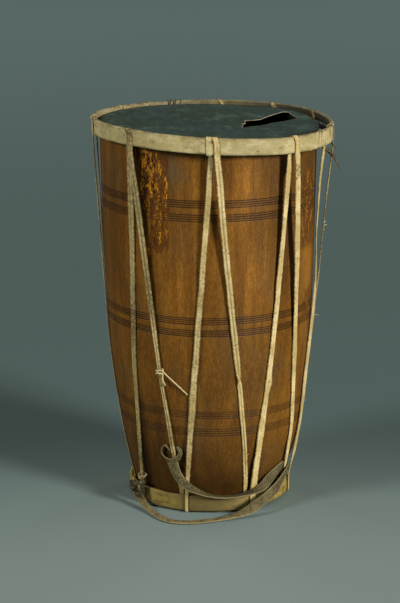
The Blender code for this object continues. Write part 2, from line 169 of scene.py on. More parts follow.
def worn_through(azimuth, height):
    """How far the surface has gone to rough wood here, from 0 to 1."""
    place = polar(azimuth, 1.0, height * 3.2)
    edge = 2.6 * noise.fractal(place * 9.0, 0.7, 2.0, 4)
    lower_left = 3.6 * ease(0.405, 0.370, height)
    streak = ease(-37.7, -36.1, azimuth + edge - lower_left) * ease(-21.0, -23.0, azimuth + 0.8 * edge)
    streak *= 1 - 0.27 * ease(0.404, 0.388, height + 0.004 * edge) - 0.73 * ease(0.346, 0.310, height + 0.006 * edge)
    streak *= 1 - 0.42 * ease(-29.5, -26.5, azimuth + 0.6 * edge) * ease(0.385, 0.400, height)
    upper = ease(57.0, 60.0, azimuth + edge) * ease(84.0, 78.0, azimuth + edge) * ease(0.312, 0.330, height)
    upper *= ease(0.420, 0.405, height + 0.003 * edge)
    lower = ease(60.0, 64.0, azimuth + edge) * ease(80.0, 75.0, azimuth + edge) * ease(0.228, 0.240, height)
    lower *= ease(0.272, 0.264, height + 0.003 * edge)
    return max(streak, 0.50 * upper, 0.42 * lower)


def spots(table, azimuth, height):
    """The sum of a table's soft-edged spots here."""
    return sum(much * math.exp(-((azimuth - a) / wide) ** 2 - ((height - z) / tall) ** 2)
               for a, z, wide, tall, much in table)


line_heights = [high + (low - high) * k / 3 for high, low in BANDS for k in range(4)]
levels = set(np.round(np.arange(0.0010, RIM_HEIGHT, LEVEL_STEP), 5))
levels = {z for z in levels if min(abs(z - line) for line in line_heights) > 0.0010}
for line in line_heights:
    levels |= {round(line + LINE_HALF_WIDTH * step, 6) for step in (-1.4, -0.95, -0.5, 0, 0.5, 0.95, 1.4)}
levels = sorted(levels) + [RIM_HEIGHT - RIM_EASE]
round_azimuths = list(np.arange(-42.0, -18.0, 0.45)) + list(np.arange(-18.0, 318.0, 1.45))
rows, marks = [], []
for level in levels:
    row = []
    banded = max(ease(low - 0.0014, low + 0.0004, level) * ease(high + 0.0014, high - 0.0004, level)
                 for high, low in BANDS)
    groove = max(0.0, 1 - min(abs(level - line) for line in line_heights) ** 2 / LINE_HALF_WIDTH**2)
    lean = float(smooth(BAND_LEAN, level))
    base_radius = shell_radius(level)
    for azimuth in round_azimuths:
        z = level + lean * (base_radius * math.sin(math.radians(azimuth)))
        turned = azimuth if azimuth <= 180 else azimuth - 360
        worn = worn_through(turned, z)
        place = polar(azimuth, base_radius, z)
        uneven = noise.noise(place * 16) * 0.00022
        fibre = noise.fractal(Vector((place.x * 520, place.y * 520, z * 60)), 0.8, 2.0, 3)
        cut = groove * (0.62 + 0.38 * noise.noise(place * 21 + Vector((level * 900, 0, 0)))) * (1 - 0.8 * worn)
        radius = shell_radius(z) + fullness(turned, z) + uneven - cut * LINE_DEPTH + worn * (0.00055 * fibre - 0.00035)
        row.append(polar(azimuth, radius, z))
        line_dark = min(1.0, 1.7 * cut) * (0.7 if level < LOWEST_BANDS else 1.0)
        band_dark = (0.34 if level > LOWEST_BANDS else 0.26) * banded * (1 - 0.6 * worn)
        marks.append((line_dark, worn, spots(TONES_LIGHT_AND_SHADE, turned, z) - band_dark, min(1.0, spots(PAINTED_SHEEN, turned, z)), 0.0))
    rows.append(row)
for level, inset in ((RIM_HEIGHT, 0.0009), (RIM_HEIGHT, WALL - RIM_EASE), (RIM_HEIGHT - RIM_EASE, WALL),
                     (0.34, WALL), (0.20, WALL), (0.12, WALL), (0.05, WALL), (0.0010, WALL)):
    row = []
    lean = float(smooth(BAND_LEAN, level))
    for azimuth in round_azimuths:
        radius = shell_radius(level) + fullness(azimuth, level) - inset
        row.append(polar(azimuth, radius, level + lean * radius * math.sin(math.radians(azimuth))))
    rows.append(row)
    marks += [(0.0, 0.0, 0.0, 0.0, 1.0)] * len(row)
shell = loft("drum_shell", rows, joined=True)
mark(shell, "cut_line worn tone haze inside", marks)


def fill(socket, value):
    """Gives a shader's socket a constant value, or another node's output."""
    if isinstance(value, bpy.types.NodeSocket):
        socket.id_data.links.new(value, socket)
    else:
        socket.default_value = value


def node(tree, kind, inputs=None, **options):
    """A new shader node. Inputs are values or other nodes' outputs, by socket name or number."""
    made = tree.nodes.new("ShaderNode" + kind)
    for option, value in options.items():
        setattr(made, option, value)
    for socket, value in (inputs or {}).items():
        fill(made.inputs[socket], value)
    return made


def tree_of(*values):
    """The shader tree of the first socket among these values."""
    return next(value.id_data for value in values if isinstance(value, bpy.types.NodeSocket))


def blend(share, first, second, way="MIX"):
    """The second colour over the first. Each is a socket or (red, green, blue)."""
    first, second = ((*colour, 1) if isinstance(colour, tuple) else colour for colour in (first, second))
    inputs = {0: share, 6: first, 7: second}
    return node(tree_of(share, first, second), "Mix", inputs, data_type="RGBA", blend_type=way).outputs[2]


def coated(colour, *coats):
    """A colour with others laid over it in turn, each given with how much of it shows."""
    for share, over in coats:
        colour = blend(share, colour, over)
    return colour


def reckoned(operation, first, second):
    return node(tree_of(first, second), "Math", {0: first, 1: second}, operation=operation).outputs[0]


def plus(first, second):
    return reckoned("ADD", first, second)


def times(first, second):
    return reckoned("MULTIPLY", first, second)


def minus(first, second):
    return reckoned("SUBTRACT", first, second)


def between(value, low, high, start=0.0, end=1.0):
    """Start where the value is at low, end where it is at high, and a soft step between."""
    limits = {"Value": value, "From Min": low, "From Max": high, "To Min": start, "To Max": end}
    return node(value.id_data, "MapRange", limits, interpolation_type="SMOOTHSTEP").outputs[0]


def cloud(place, scale, detail=4.0, roughness=0.55):
    settings = {"Vector": place, "Scale": scale, "Detail": detail, "Roughness": roughness}
    return node(place.id_data, "TexNoise", settings).outputs["Fac"]


def mapped(place, scale=(1, 1, 1), shift=(0, 0, 0)):
    return node(place.id_data, "Mapping", {"Vector": place, "Scale": scale, "Location": shift}).outputs[0]


def marked(place, name):
    return node(place.id_data, "Attribute", attribute_name=name, attribute_type="GEOMETRY").outputs["Fac"]


def height_of(place):
    return node(place.id_data, "SeparateXYZ", {0: place}).outputs["Z"]


def new_look(name):
    made = bpy.data.materials.new(name)
    made.use_nodes = True
    return made


def place_on(look):
    return node(look.node_tree, "TexCoord").outputs["Object"]


def finish(look, colour, roughness, shine=0.5, relief=None, strength=0.0, depth=0.0):
    """Gives a material its colour, its roughness, its shine and its fine relief."""
    shader = look.node_tree.nodes["Principled BSDF"]
    fill(shader.inputs["Base Color"], colour)
    fill(shader.inputs["Roughness"], roughness)
    fill(shader.inputs["Specular IOR Level"], shine)
    if relief is not None:
        bump = node(look.node_tree, "Bump", {"Height": relief, "Strength": strength, "Distance": depth})
        fill(shader.inputs["Normal"], bump.outputs[0])


def dress(made, look, solid=None):
    """Gives a piece its material and its body, and the solid that it takes the place of."""
    made.data.materials.append(look)
    if solid:
        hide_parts(solid)
    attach(made, "root")


wood = new_look("oiled_shell_wood")
place = place_on(wood)
drawn = mapped(place, (1, 1, 0.30))
streaks = cloud(mapped(place, (1, 1, 0.07)), 85, 6, 0.68)
fibres = cloud(mapped(place, (1, 1, 0.16)), 610, 3, 0.65)
patches = cloud(drawn, 15, 6, 0.62)
pores = cloud(drawn, 1250, 2, 0.6)
# Painted sheen: broad greyish patches over the wood, strongest where the table above puts them
sheen_cloud = cloud(mapped(place, shift=(0.4, 0.9, 0.2)), 13, 5, 0.6)
sheen_patches = times(marked(place, "haze"), between(sheen_cloud, 0.30, 0.60, 0.45, 1.0))
scuffs = cloud(mapped(place, (1, 1, 2.4)), 150, 4, 0.62)
colour = coated(
    blend(between(streaks, 0.36, 0.66), (0.138, 0.051, 0.0046), (0.232, 0.095, 0.0098)),
    (between(patches, 0.48, 0.70, 0, 0.65), (0.325, 0.138, 0.0160)),
    (between(patches, 0.46, 0.28, 0, 0.55), (0.090, 0.041, 0.0075)),
    (between(sheen_cloud, 0.52, 0.70, 0, 0.55), (0.150, 0.090, 0.0330)),
    (sheen_patches, (0.118, 0.080, 0.0340)),
    (between(fibres, 0.40, 0.60, 0.36, 0), (0.050, 0.020, 0.003)),
    (between(pores, 0.50, 0.36, 0, 0.30), (0.045, 0.017, 0.002)),
    (between(pores, 0.56, 0.70, 0, 0.22), (0.420, 0.205, 0.050)),
    (between(scuffs, 0.66, 0.76, 0, 0.55), (0.38, 0.225, 0.085)),
    # Darker towards the bottom
    (between(height_of(place), 0.150, 0.020, 0, 0.56), (0.048, 0.022, 0.004)),
)
# The wood's tone, with painted light and painted shadows, from the table above in doublings
colour = blend(1.0, colour, reckoned("POWER", 2.0, marked(place, "tone")), "MULTIPLY")
# Rough wood: darkened, with splinters gone from it and golden ones left bare
worn = marked(place, "worn")
rough = between(worn, 0.05, 0.5)
splinters = mapped(place, (1, 1, 0.26))
chips = plus(times(cloud(splinters, 880, 3, 0.7), 0.56), times(cloud(splinters, 210, 3, 0.6), 0.44))
gone = between(minus(chips, times(worn, 0.20)), 0.31, 0.22)
bare = between(plus(chips, times(worn, 0.075)), 0.578, 0.655)
colour = coated(
    colour,
    (times(rough, 0.78), (0.092, 0.029, 0.0028)),
    (times(gone, rough), (0.016, 0.0050, 0.0008)),
    (times(bare, rough), (0.560, 0.235, 0.014)),
    (times(marked(place, "cut_line"), 0.92), (0.013, 0.005, 0.0010)),
    # The shell's inside is painted near black: painted shade where light through the tear would show it
    (marked(place, "inside"), (0.007, 0.0045, 0.0025)),
)
relief = plus(plus(fibres, pores), times(scuffs, 0.5))
finish(wood, colour, between(patches, 0.3, 0.7, 0.54, 0.42), 0.14, relief, 0.35, 0.0005)
dress(shell, wood, "shell")


# Lower skin: thin hide drawn over the small end and down its side, under the ring. It is out of sight when
# the drum stands, and is puckered round its edge where the wet hide was pulled over.
SKIN = 0.0008
GAP = 0.0003
LOWER_COLLAR = 0.0080


def over_shell(height):
    """Radius of a skin's outer face on the side of the shell."""
    return shell_radius(height) + 2 * GAP + SKIN


# Radius, height and how puckered, from the middle of the underside to the top of the collar
under = [(share * shell_radius(0.001), 0.0, share) for share in (0.0006, 0.12, 0.3, 0.5, 0.68, 0.82, 0.92, 0.975)]
under += [(over_shell(0.0035) - 0.0006, 0.00015, 1.0), (over_shell(0.0035), 0.0009, 1.0)]
under += [(over_shell(z), z, 0.9) for z in (0.0035, 0.0062, 0.0011 + LOWER_COLLAR)]
inner = [(r - SKIN if k > 8 else r, z + (0 if k > 8 else SKIN), p) for k, (r, z, p) in enumerate(under)]
rows = []
for radius, height, pucker in under + inner[::-1]:
    row = []
    for azimuth in range(0, 360, 3):
        fold = noise.noise(Vector((math.sin(math.radians(azimuth)), math.cos(math.radians(azimuth)), 0)) * 9)
        row.append(polar(azimuth, radius, height + abs(fold) * 0.0006 * ease(0.6, 1.0, pucker) * (height < 0.001)))
    rows.append(row)
lower_skin = loft("lower_skin", rows)

# Stains, specks and fine grain that every piece of hide on the drum shares
hide_group = bpy.data.node_groups.new("hide_marks", "ShaderNodeTree")
for socket, kind in (("Place", "NodeSocketVector"), ("Scale", "NodeSocketFloat"), ("Spread", "NodeSocketFloat")):
    hide_group.interface.new_socket(socket, in_out="INPUT", socket_type=kind)
for socket in ("Stain", "Speck", "Grain"):
    hide_group.interface.new_socket(socket, in_out="OUTPUT", socket_type="NodeSocketFloat")
given = hide_group.nodes.new("NodeGroupInput").outputs
broad = cloud(given["Place"], given["Scale"], 5, 0.6)
closer = cloud(given["Place"], times(given["Scale"], 5.3), 4, 0.6)
finest = cloud(given["Place"], times(given["Scale"], 19), 3, 0.65)
uneven = plus(times(broad, 0.68), times(closer, 0.32))
start_at = minus(0.66, times(given["Spread"], 0.26))
result = hide_group.nodes.new("NodeGroupOutput").inputs
fill(result["Stain"], between(uneven, start_at, plus(start_at, 0.16)))
fill(result["Speck"], between(finest, 0.60, 0.72))
fill(result["Grain"], plus(closer, finest))


def hide_marks(place, scale, spread):
    inputs = {"Place": place, "Scale": scale, "Spread": spread}
    made = node(place.id_data, "Group", inputs, node_tree=hide_group)
    return made.outputs["Stain"], made.outputs["Speck"], made.outputs["Grain"]


drum_skin = new_look("dark_drum_skin")
place = place_on(drum_skin)
stain, speck, grain = hide_marks(place, 30, 0.66)
colour = coated(
    blend(stain, (0.0335, 0.0590, 0.0400), (0.0920, 0.1400, 0.1020)),
    (between(cloud(place, 11, 4), 0.46, 0.68, 0, 0.75), (0.0450, 0.0815, 0.0770)),
    (between(cloud(mapped(place, (1, 0.28, 1)), 120, 4, 0.6), 0.40, 0.62, 0.45, 0), (0.0240, 0.0385, 0.0260)),
    (times(speck, 0.40), (0.104, 0.134, 0.098)),
    (between(cloud(place, 240, 2, 0.5), 0.72, 0.78, 0, 0.9), (0.26, 0.27, 0.20)),
    (marked(place, "torn_edge"), (0.30, 0.255, 0.15)),
    # The skin's edge round the rim is painted near black: painted shade in the gap under the hoop
    (marked(place, "collar"), (0.008, 0.008, 0.005)),
)
finish(drum_skin, colour, between(grain, 0.7, 1.3, 0.50, 0.66), 0.28, grain, 0.25, 0.0005)
dress(lower_skin, drum_skin, "bottom_head")


# Bottom ring: a bent wooden band inside a sewn-on cover of rawhide, pushed up round the small end to hold the
# lower skin and the lacing. The cover is grubby and yellowed, lumpy over the wood, and darker underneath.
RING_OUTER = 0.0991
RING_WALL = 0.0045
RING_BOTTOM = 0.0020
RING_DEPTH = 0.0198
RING_STEP = 1.5
COVER = 0.0007
# How much darker the cover is made at each azimuth, most at the front
COVER_DARKENING = [(-180, 0.25), (-60, 0.10), (-30, 0.42), (-12, 0.92), (8, 0.88), (28, 0.36), (60, 0.10), (180, 0.25)]


def cover_section(outer, wall, depth, corner):
    """(radius, depth, way out) points round the cover of a hoop: over its outer face from the upper lip on the
    inside, then back along its inner face."""
    into = outer - wall
    inward, up, outward, down = (-1, 0), (0, -1), (1, 0), (0, 1)
    bends = [(math.cos(turn * math.pi / 2), math.sin(turn * math.pi / 2)) for turn in (0.3, 0.7)]
    line = [(into, 0.499 * depth, inward), (into, 0.25 * depth, inward), (into, corner, inward)]
    line += [(into + corner * (1 - c), corner * (1 - s), (-c, -s)) for c, s in bends]
    line += [(into + corner, 0, up), (outer - corner, 0, up)]
    line += [(outer - corner * (1 - s), corner * (1 - c), (s, -c)) for c, s in bends]
    line += [(outer, corner + (depth - 2 * corner) * k / 9, outward) for k in range(10)]
    line += [(outer - corner * (1 - c), depth - corner * (1 - s), (c, s)) for c, s in bends]
    line += [(outer - corner, depth, down), (into + corner, depth, down), (into, depth - corner, inward)]
    line += [(into, 0.75 * depth, inward), (into, 0.501 * depth, inward)]
    return line + [(r - COVER * way[0], d - COVER * way[1], (0, 0)) for r, d, way in line[::-1]]


rows = []
for azimuth in np.arange(0, 360, RING_STEP):
    row = []
    for radius, depth, way in cover_section(RING_OUTER, RING_WALL, RING_DEPTH, 0.0016):
        height = RING_BOTTOM + RING_DEPTH - depth
        place = polar(azimuth, radius, height)
        lump = 0.00045 * noise.fractal(place * 55, 0.9, 2.0, 3) + 0.00018 * noise.noise(place * 260)
        lump = max(-0.0005, min(0.0007, lump))
        lean = 0.0006 * noise.noise(place * 20) if depth < 0.006 else 0.0
        row.append(polar(azimuth, radius + lump * way[0], height - lump * way[1] + lean))
    rows.append(row)
bottom_ring = loft("bottom_ring_cover", rows, joined=True)
soiled = straight(COVER_DARKENING, (np.arange(0, 360, RING_STEP) + 180) % 360 - 180)
mark(bottom_ring, "soiled", np.repeat(soiled, len(rows[0])))
yellowed = new_look("yellowed_rawhide")
place = place_on(yellowed)
stain, speck, grain = hide_marks(mapped(place, (1, 1, 2.2)), 74, 0.80)
colour = coated(
    blend(stain, (0.400, 0.282, 0.050), (0.175, 0.104, 0.014)),
    (between(cloud(place, 24, 4), 0.5, 0.68, 0, 0.75), (0.44, 0.335, 0.090)),
    (marked(place, "soiled"), (0.105, 0.072, 0.014)),
    (times(speck, 0.75), (0.075, 0.043, 0.010)),
    (between(height_of(place), 0.0080, 0.0020, 0, 0.6), (0.10, 0.065, 0.02)),
)
finish(yellowed, colour, between(grain, 0.7, 1.3, 0.48, 0.68), 0.5, grain, 0.4, 0.0006)
dress(bottom_ring, yellowed, "bottom_hoop_cover")

# The bent bands inside both covers, bare wood
band_wood = new_look("bare_band_wood")
layers = cloud(mapped(place_on(band_wood), (1, 1, 9)), 60, 4)
colour = blend(between(layers, 0.35, 0.65), (0.20, 0.11, 0.05), (0.34, 0.21, 0.10))
finish(band_wood, colour, between(layers, 0.3, 0.7, 0.6, 0.8), 0.5, layers, 0.3, 0.0005)
for core in ("top_hoop_core", "bottom_hoop_core"):
    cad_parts[core].data.materials.clear()
    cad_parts[core].data.materials.append(band_wood)


# Playing skin: thin dark hide stretched wet over the wide end and down its side, under the hoop. It has a long
# tear at the right, whose far lip has dried curling up and shows its pale cut edge, ragged at the left end.
UPPER_COLLAR = 0.012
HEAD_STEPS = 120
WEAVE = 0.0046  # distance between the mesh's points
TEAR_NEAR = [(0.0392, -0.0282), (0.0436, -0.0290), (0.0515, -0.0225), (0.0595, -0.0165), (0.0690, -0.0050),
             (0.0770, 0.0064), (0.0890, 0.0165), (0.0996, 0.0271), (0.1099, 0.0393)]
TEAR_FAR = [(0.1070, 0.0450), (0.1033, 0.0540), (0.0991, 0.0690), (0.0928, 0.0670), (0.0845, 0.0555),
            (0.0760, 0.0405), (0.0690, 0.0260), (0.0628, 0.0115), (0.0560, 0.0090), (0.0500, 0.0110),
            (0.0455, 0.0130), (0.0440, 0.0050), (0.0447, -0.0080), (0.0405, -0.0130), (0.0420, -0.0200)]
head_radius = over_shell(RIM_HEIGHT)
edge_radius = head_radius - 0.0008
top_plane = RIM_HEIGHT + GAP + SKIN
far_line = [Vector(p) for p in TEAR_FAR]
corners = [Vector(p) for p in TEAR_NEAR + TEAR_FAR]
outline = []
for start, end in zip(corners, corners[1:] + corners[:1]):
    steps = max(1, round((end - start).length / 0.0022))
    for k in range(steps):
        at = start.lerp(end, k / steps)
        ragged = Vector((noise.noise(Vector((*at, 0)) * 420), noise.noise(Vector((*at, 0.7)) * 420))) * 0.00055
        outline.append(at + ragged)
tear_edge = outline + outline[:1]


def from_line(point, line):
    """Distance from a point to a line of points."""
    best = 1.0
    for start, end in zip(line, line[1:]):
        share = min(1.0, max(0.0, geometry.intersect_point_line(point, start, end)[1]))
        best = min(best, (point - start.lerp(end, share)).length)
    return best


def in_tear(point):
    inside = False
    for start, end in zip(tear_edge, tear_edge[1:]):
        if (start.y > point.y) != (end.y > point.y):
            inside ^= point.x < start.x + (point.y - start.y) * (end.x - start.x) / (end.y - start.y)
    return inside


def rim_rise(x, y):
    """How far the skin is pushed up towards the rear right edge, where the shell's rim isn't level."""
    azimuth = math.degrees(math.atan2(x, -y))
    return 0.0029 * bell(azimuth, 126, 32) * min(1.0, math.hypot(x, y) / head_radius) ** 8


def on_round(radius, k):
    turn = 2 * math.pi * k / HEAD_STEPS
    return radius * math.cos(turn), radius * math.sin(turn)


plan_radius = float(np.float32(edge_radius))  # in the mesh's own precision
plan = [Vector(on_round(plan_radius, k)) for k in range(HEAD_STEPS)] + outline
for i in range(-30, 31):
    for j in range(-34, 35):
        point = Vector(((i + 0.5 * (j % 2)) * WEAVE, j * WEAVE * 0.866))
        if point.length > head_radius - 0.0035 or in_tear(point):
            continue
        if from_line(point, tear_edge) > 0.0028:
            plan.append(point)
for apart in (0.0011, 0.0024):
    for start, end in zip(tear_edge, tear_edge[1:]):
        way = (end - start).normalized()
        point = (start + end) / 2 + Vector((way.y, -way.x)) * apart
        if not in_tear(point) and from_line(point, tear_edge) > 0.8 * apart:
            plan.append(point)
edges = [(k, (k + 1) % HEAD_STEPS) for k in range(HEAD_STEPS)]
edges += [(HEAD_STEPS + k, HEAD_STEPS + (k + 1) % len(outline)) for k in range(len(outline))]
found = geometry.delaunay_2d_cdt(plan, edges, [], 0, 1e-6)
flat = found[0]
skin_mesh = bmesh.new()
made = []
for at in flat:
    to_tear, to_far = from_line(at, tear_edge), from_line(at, far_line)
    lift = 0.0025 * math.exp(-to_far / 0.0065) * ease(0.040, 0.062, at.x) * ease(0.108, 0.088, at.x)
    droop = -0.0011 * math.exp(-to_tear / 0.010) * (to_far > to_tear + 0.002)
    slack = 0.0006 * noise.noise(Vector((*at, 0)) * 22) * ease(0.13, 0.10, at.length)
    made.append(skin_mesh.verts.new((*at, top_plane - RIM_SLOPE * at.x + rim_rise(*at) + lift + droop + slack)))
for face in found[2]:
    if not in_tear(sum((flat[k] for k in face), Vector((0, 0))) / len(face)):
        skin_mesh.faces.new([made[k] for k in face])
drops = [0.0, 0.0005, 0.0045, 0.0085, UPPER_COLLAR]
for upper, lower in zip(drops, drops[1:]):
    for k in range(HEAD_STEPS):
        sides = []
        for turn, drop in ((k, upper), (k, lower), (k + 1, lower), (k + 1, upper)):
            x, y = on_round(over_shell(RIM_HEIGHT - drop) if drop else edge_radius, turn)
            z = top_plane - drop - RIM_SLOPE * x + rim_rise(x, y) * (1 - drop / UPPER_COLLAR)
            sides.append(skin_mesh.verts.new((x, y, z)))
        skin_mesh.faces.new(sides)
bmesh.ops.remove_doubles(skin_mesh, verts=skin_mesh.verts, dist=2e-5)
bmesh.ops.delete(skin_mesh, geom=[v for v in skin_mesh.verts if not v.link_faces], context="VERTS")
mesh = bpy.data.meshes.new("playing_skin")
skin_mesh.to_mesh(mesh)
skin_mesh.free()
mesh.shade_smooth()
playing_skin = placed("playing_skin", mesh)
marks = []
for vertex in mesh.vertices:
    at = vertex.co.xy
    torn = 0.0
    if at.length < head_radius - 0.004:
        near = from_line(at, tear_edge)
        torn = ease(0.0012, 0.0001, near) * (1.0 if from_line(at, far_line) < near + 0.002 else 0.45)
    marks.append((torn, ease(head_radius - 0.0020, head_radius - 0.0006, at.length)))
# collar marks the band near the rim that is painted as shade
mark(playing_skin, "torn_edge collar", marks)
thick = playing_skin.modifiers.new("thickness", "SOLIDIFY")
thick.thickness = SKIN
thick.offset = -1
dress(playing_skin, drum_skin, "top_head")


# Top hoop: a bent wooden band in a cover of cream rawhide, standing above the skin and clear of the shell, a
# little off centre and warped. The cover is drawn in folds at the left end and in upright wrinkles at the right.
HOOP_SHIFT = 0.005
HOOP_OUTER = 0.1456
HOOP_WALL = 0.0050
HOOP_TOP = 0.4688
HOOP_DEPTH = 0.0196
# How dark the inside of the hoop is made, by azimuth: grime, and painted shade in the gap above the skin
GRIME_AND_SHADE = [(-180, 0.79), (-165, 0.66), (-140, 0.50), (-100, 0.40), (-60, 0.5), (0, 0.6), (50, 0.9), (100, 1.0),
         (140, 0.97), (165, 0.84), (180, 0.72)]


def hoop_lift(x, y):
    """How far the hoop stands above or below its mean height at this place in plan."""
    return -0.029 * (x - HOOP_SHIFT) - 0.005 * y + 0.175 * (x - HOOP_SHIFT) * y


def hoop_point(azimuth, radius, depth):
    """A point this far from the hoop's own axis and this far below its top edge."""
    a = math.radians(azimuth)
    across = HOOP_SHIFT * math.cos(a)
    point = polar(azimuth, HOOP_SHIFT * math.sin(a) + math.sqrt(radius**2 - across**2), HOOP_TOP - depth)
    point.z += hoop_lift(point.x, point.y)
    return point


def waver(*place):
    """Smooth chance values between about -1 and 1."""
    return noise.noise(Vector(place))


hoop_azimuths = np.concatenate([np.arange(-180, -112, 0.9), np.arange(-112, -62, 0.5), np.arange(-62, 46, 0.9),
                                np.arange(46, 100, 0.4), np.arange(100, 180, 0.9)])
rows, marks = [], []
for azimuth in hoop_azimuths:
    row = []
    wrinkled = ease(46, 60, azimuth) * ease(98, 86, azimuth)
    folded = ease(-66, -78, azimuth) * ease(-116, -100, azimuth)
    within = straight(GRIME_AND_SHADE, azimuth)
    for radius, depth, way in cover_section(HOOP_OUTER, HOOP_WALL, HOOP_DEPTH, 0.0015):
        place = polar(azimuth, radius, 0.46 - depth)
        upright = waver(math.radians(azimuth) * 46 + depth * 22, depth * 30, 3.0)
        across = waver(azimuth * 0.24, depth * 190, 8.0)
        ripple = 0.00030 * noise.fractal(place * 60, 0.9, 2.0, 3) + 0.00016 * noise.noise(place * 230)
        ripple += wrinkled * 0.00150 * upright * (way[0] > -0.5)
        ripple += folded * 0.00100 * across
        ripple = max(-0.0011, min(0.0009, ripple))
        sway = 0.00045 * noise.noise(place * 30) * (depth < 0.004 or depth > 0.016)
        row.append(hoop_point(azimuth, radius + ripple * way[0], depth + ripple * way[1] + sway))
        # Darker edges, wrinkle and fold valleys and inner top edge: grime, with painted shade in the valleys and along
        # the inner top edge against the skin
        edge_grime_and_shade = max(ease(0.0030, 0.0004, depth), ease(0.0160, 0.0196, depth))
        grime = 0.50 * edge_grime_and_shade * (0.6 + noise.noise(place * 75)) + 1.7 * wrinkled * max(0.0, -upright - 0.06)
        grime += 1.3 * folded * max(0.0, -across - 0.05) + 0.15 * ease(-16, -8, azimuth) * ease(34, 20, azimuth)
        if way[0] < -0.5 or way == (0, 0):
            grime = max(grime, within)
        elif way[0] < 0.1 and depth < 0.002:
            grime = max(grime, 0.55 * within)
        if depth < 0.0012 and radius < HOOP_OUTER - 0.6 * HOOP_WALL:
            grime = max(grime, 0.55 + 0.5 * noise.noise(place * 120))
        marks.append(max(0.0, min(1.0, grime)))
    rows.append(row)
top_hoop = loft("top_hoop_cover", rows, joined=True)
mark(top_hoop, "grime", marks)
cream = new_look("cream_rawhide")
place = place_on(cream)
stain, speck, grain = hide_marks(place, 46, 0.44)
flaked = cloud(mapped(place, (1, 1, 1.7)), 85, 6, 0.68)
swirl = node(cream.node_tree, "TexNoise", {"Vector": place, "Scale": 40.0}).outputs["Color"]
bent = node(cream.node_tree, "Mix", {0: 0.10, 4: place, 5: swirl}, data_type="VECTOR").outputs[1]
cells = node(cream.node_tree, "TexVoronoi", {"Vector": bent, "Scale": 95.0}, feature="DISTANCE_TO_EDGE")
cracks = times(between(cells.outputs["Distance"], 0.045, 0.0), between(cloud(place, 26, 3), 0.50, 0.62))
colour = coated(
    blend(between(cloud(place, 30, 5), 0.38, 0.64), (0.432, 0.338, 0.133), (0.567, 0.454, 0.206)),
    (between(flaked, 0.52, 0.60, 0, 0.70), (0.640, 0.530, 0.272)),
    (times(stain, 0.60), (0.300, 0.208, 0.060)),
    (between(flaked, 0.42, 0.34, 0, 0.80), (0.205, 0.140, 0.045)),
    (times(speck, 0.50), (0.170, 0.115, 0.040)),
    (times(cracks, 0.65), (0.110, 0.072, 0.024)),
    # Grime and painted shade on the cover
    (marked(place, "grime"), (0.036, 0.028, 0.0085)),
)
relief = minus(plus(grain, flaked), cracks)
finish(cream, colour, between(grain, 0.7, 1.3, 0.45, 0.62), 0.35, relief, 0.45, 0.0006)
dress(top_hoop, cream, "top_hoop_cover")

# Where the cover's two ends lap at the front, a paler tab hangs a little below the hoop
rows = []
for k in range(15):
    azimuth = -1.35 + 2.5 * k / 14
    bulge = math.sin(math.pi * k / 14)
    section = [(-0.0042, 0.0004), (-0.0020, -0.0006), (-0.0002, 0.0004), (0.0002, 0.0030), (0.0003, 0.0100),
               (0.0003, 0.0170), (0.0001, 0.0203 + 0.0007 * bulge)]
    face = [(HOOP_OUTER + out + 0.0007 + 0.0003 * bulge, depth - (0.0006 if out < -0.001 else 0))
            for out, depth in section]
    back = [(HOOP_OUTER + out + 0.0001, depth + (0.0001 if out < -0.001 else 0)) for out, depth in section]
    rows.append([hoop_point(azimuth + 0.10 * math.sin(depth * 400), r, depth) for r, depth in face + back[::-1]])
hoop_lap = loft("hoop_lap", rows)
mark(hoop_lap, "grime", 0.0)
dress(hoop_lap, cream)


# Lashing at the back left: fine dark thread wound in crossed turns round the lapped ends of the hoop, with one
# end left standing up.
LASHING_TURNS = 5
LASHING_STEPS = 28
LASHING_RADIUS = 0.00052


def heading(line, k):
    """The way a line of points runs at one of them."""
    return (line[min(k + 1, len(line) - 1)] - line[max(k - 1, 0)]).normalized()


def strand_of(name, points, radius, sides=8, taper=None):
    """A round strand along a line of points."""
    line = [Vector(p) for p in points]
    rows = []
    normal = heading(line, 0).orthogonal().normalized()
    for k, point in enumerate(line):
        ahead = heading(line, k)
        normal = (normal - ahead * normal.dot(ahead)).normalized()
        other = ahead.cross(normal)
        thick = radius * (taper(k / (len(line) - 1)) if taper else 1)
        turns = [2 * math.pi * j / sides for j in range(sides)]
        rows.append([point + (normal * math.cos(t) + other * math.sin(t)) * thick for t in turns])
    return loft(name, rows)


lashing = []
for k in range(LASHING_TURNS * LASHING_STEPS + 1):
    bend = 2 * math.pi * k / LASHING_STEPS
    c, s = math.cos(bend), math.sin(bend)
    squared = max(abs(c), abs(s)) ** 0.8
    slant = (2.3 if (k // LASHING_STEPS) % 2 else -1.5) * s
    lashing.append(hoop_point(194.7 + 7.0 * k / (LASHING_TURNS * LASHING_STEPS) + slant,
                              HOOP_OUTER - HOOP_WALL / 2 + (HOOP_WALL / 2 + 0.0012) * c / squared,
                              HOOP_DEPTH / 2 - (HOOP_DEPTH / 2 + 0.0010) * s / squared))
loose_end = [lashing[0] + Vector(p) for p in ((0.0040, -0.002, 0.0060), (0.0024, -0.001, 0.0030))]
hoop_lashing = strand_of("hoop_lashing_turns", loose_end + lashing, LASHING_RADIUS)
dark_thread = new_look("dark_thread")
finish(dark_thread, (0.085, 0.058, 0.026, 1), 0.8)
dress(hoop_lashing, dark_thread, "hoop_lashing")


# Lacing: flat rawhide thong, up outside the ring and inside the hoop, over the hoop and down behind the ring
# again, ten times round. Pulled tight it stands off the wood near the top and lies on it lower down. The strips
# vary in width, roll at the edges, and some are folded down the middle.
LACE_WIDTH = 0.0070
LACE_THICKNESS = 0.0015
LACE_SIDES = 32
FRONT_LOOPS = 5
# How much of its thickness the strip keeps where it is drawn over the hoop, in front and behind
RIM_THIN = (0.52, 0.34)
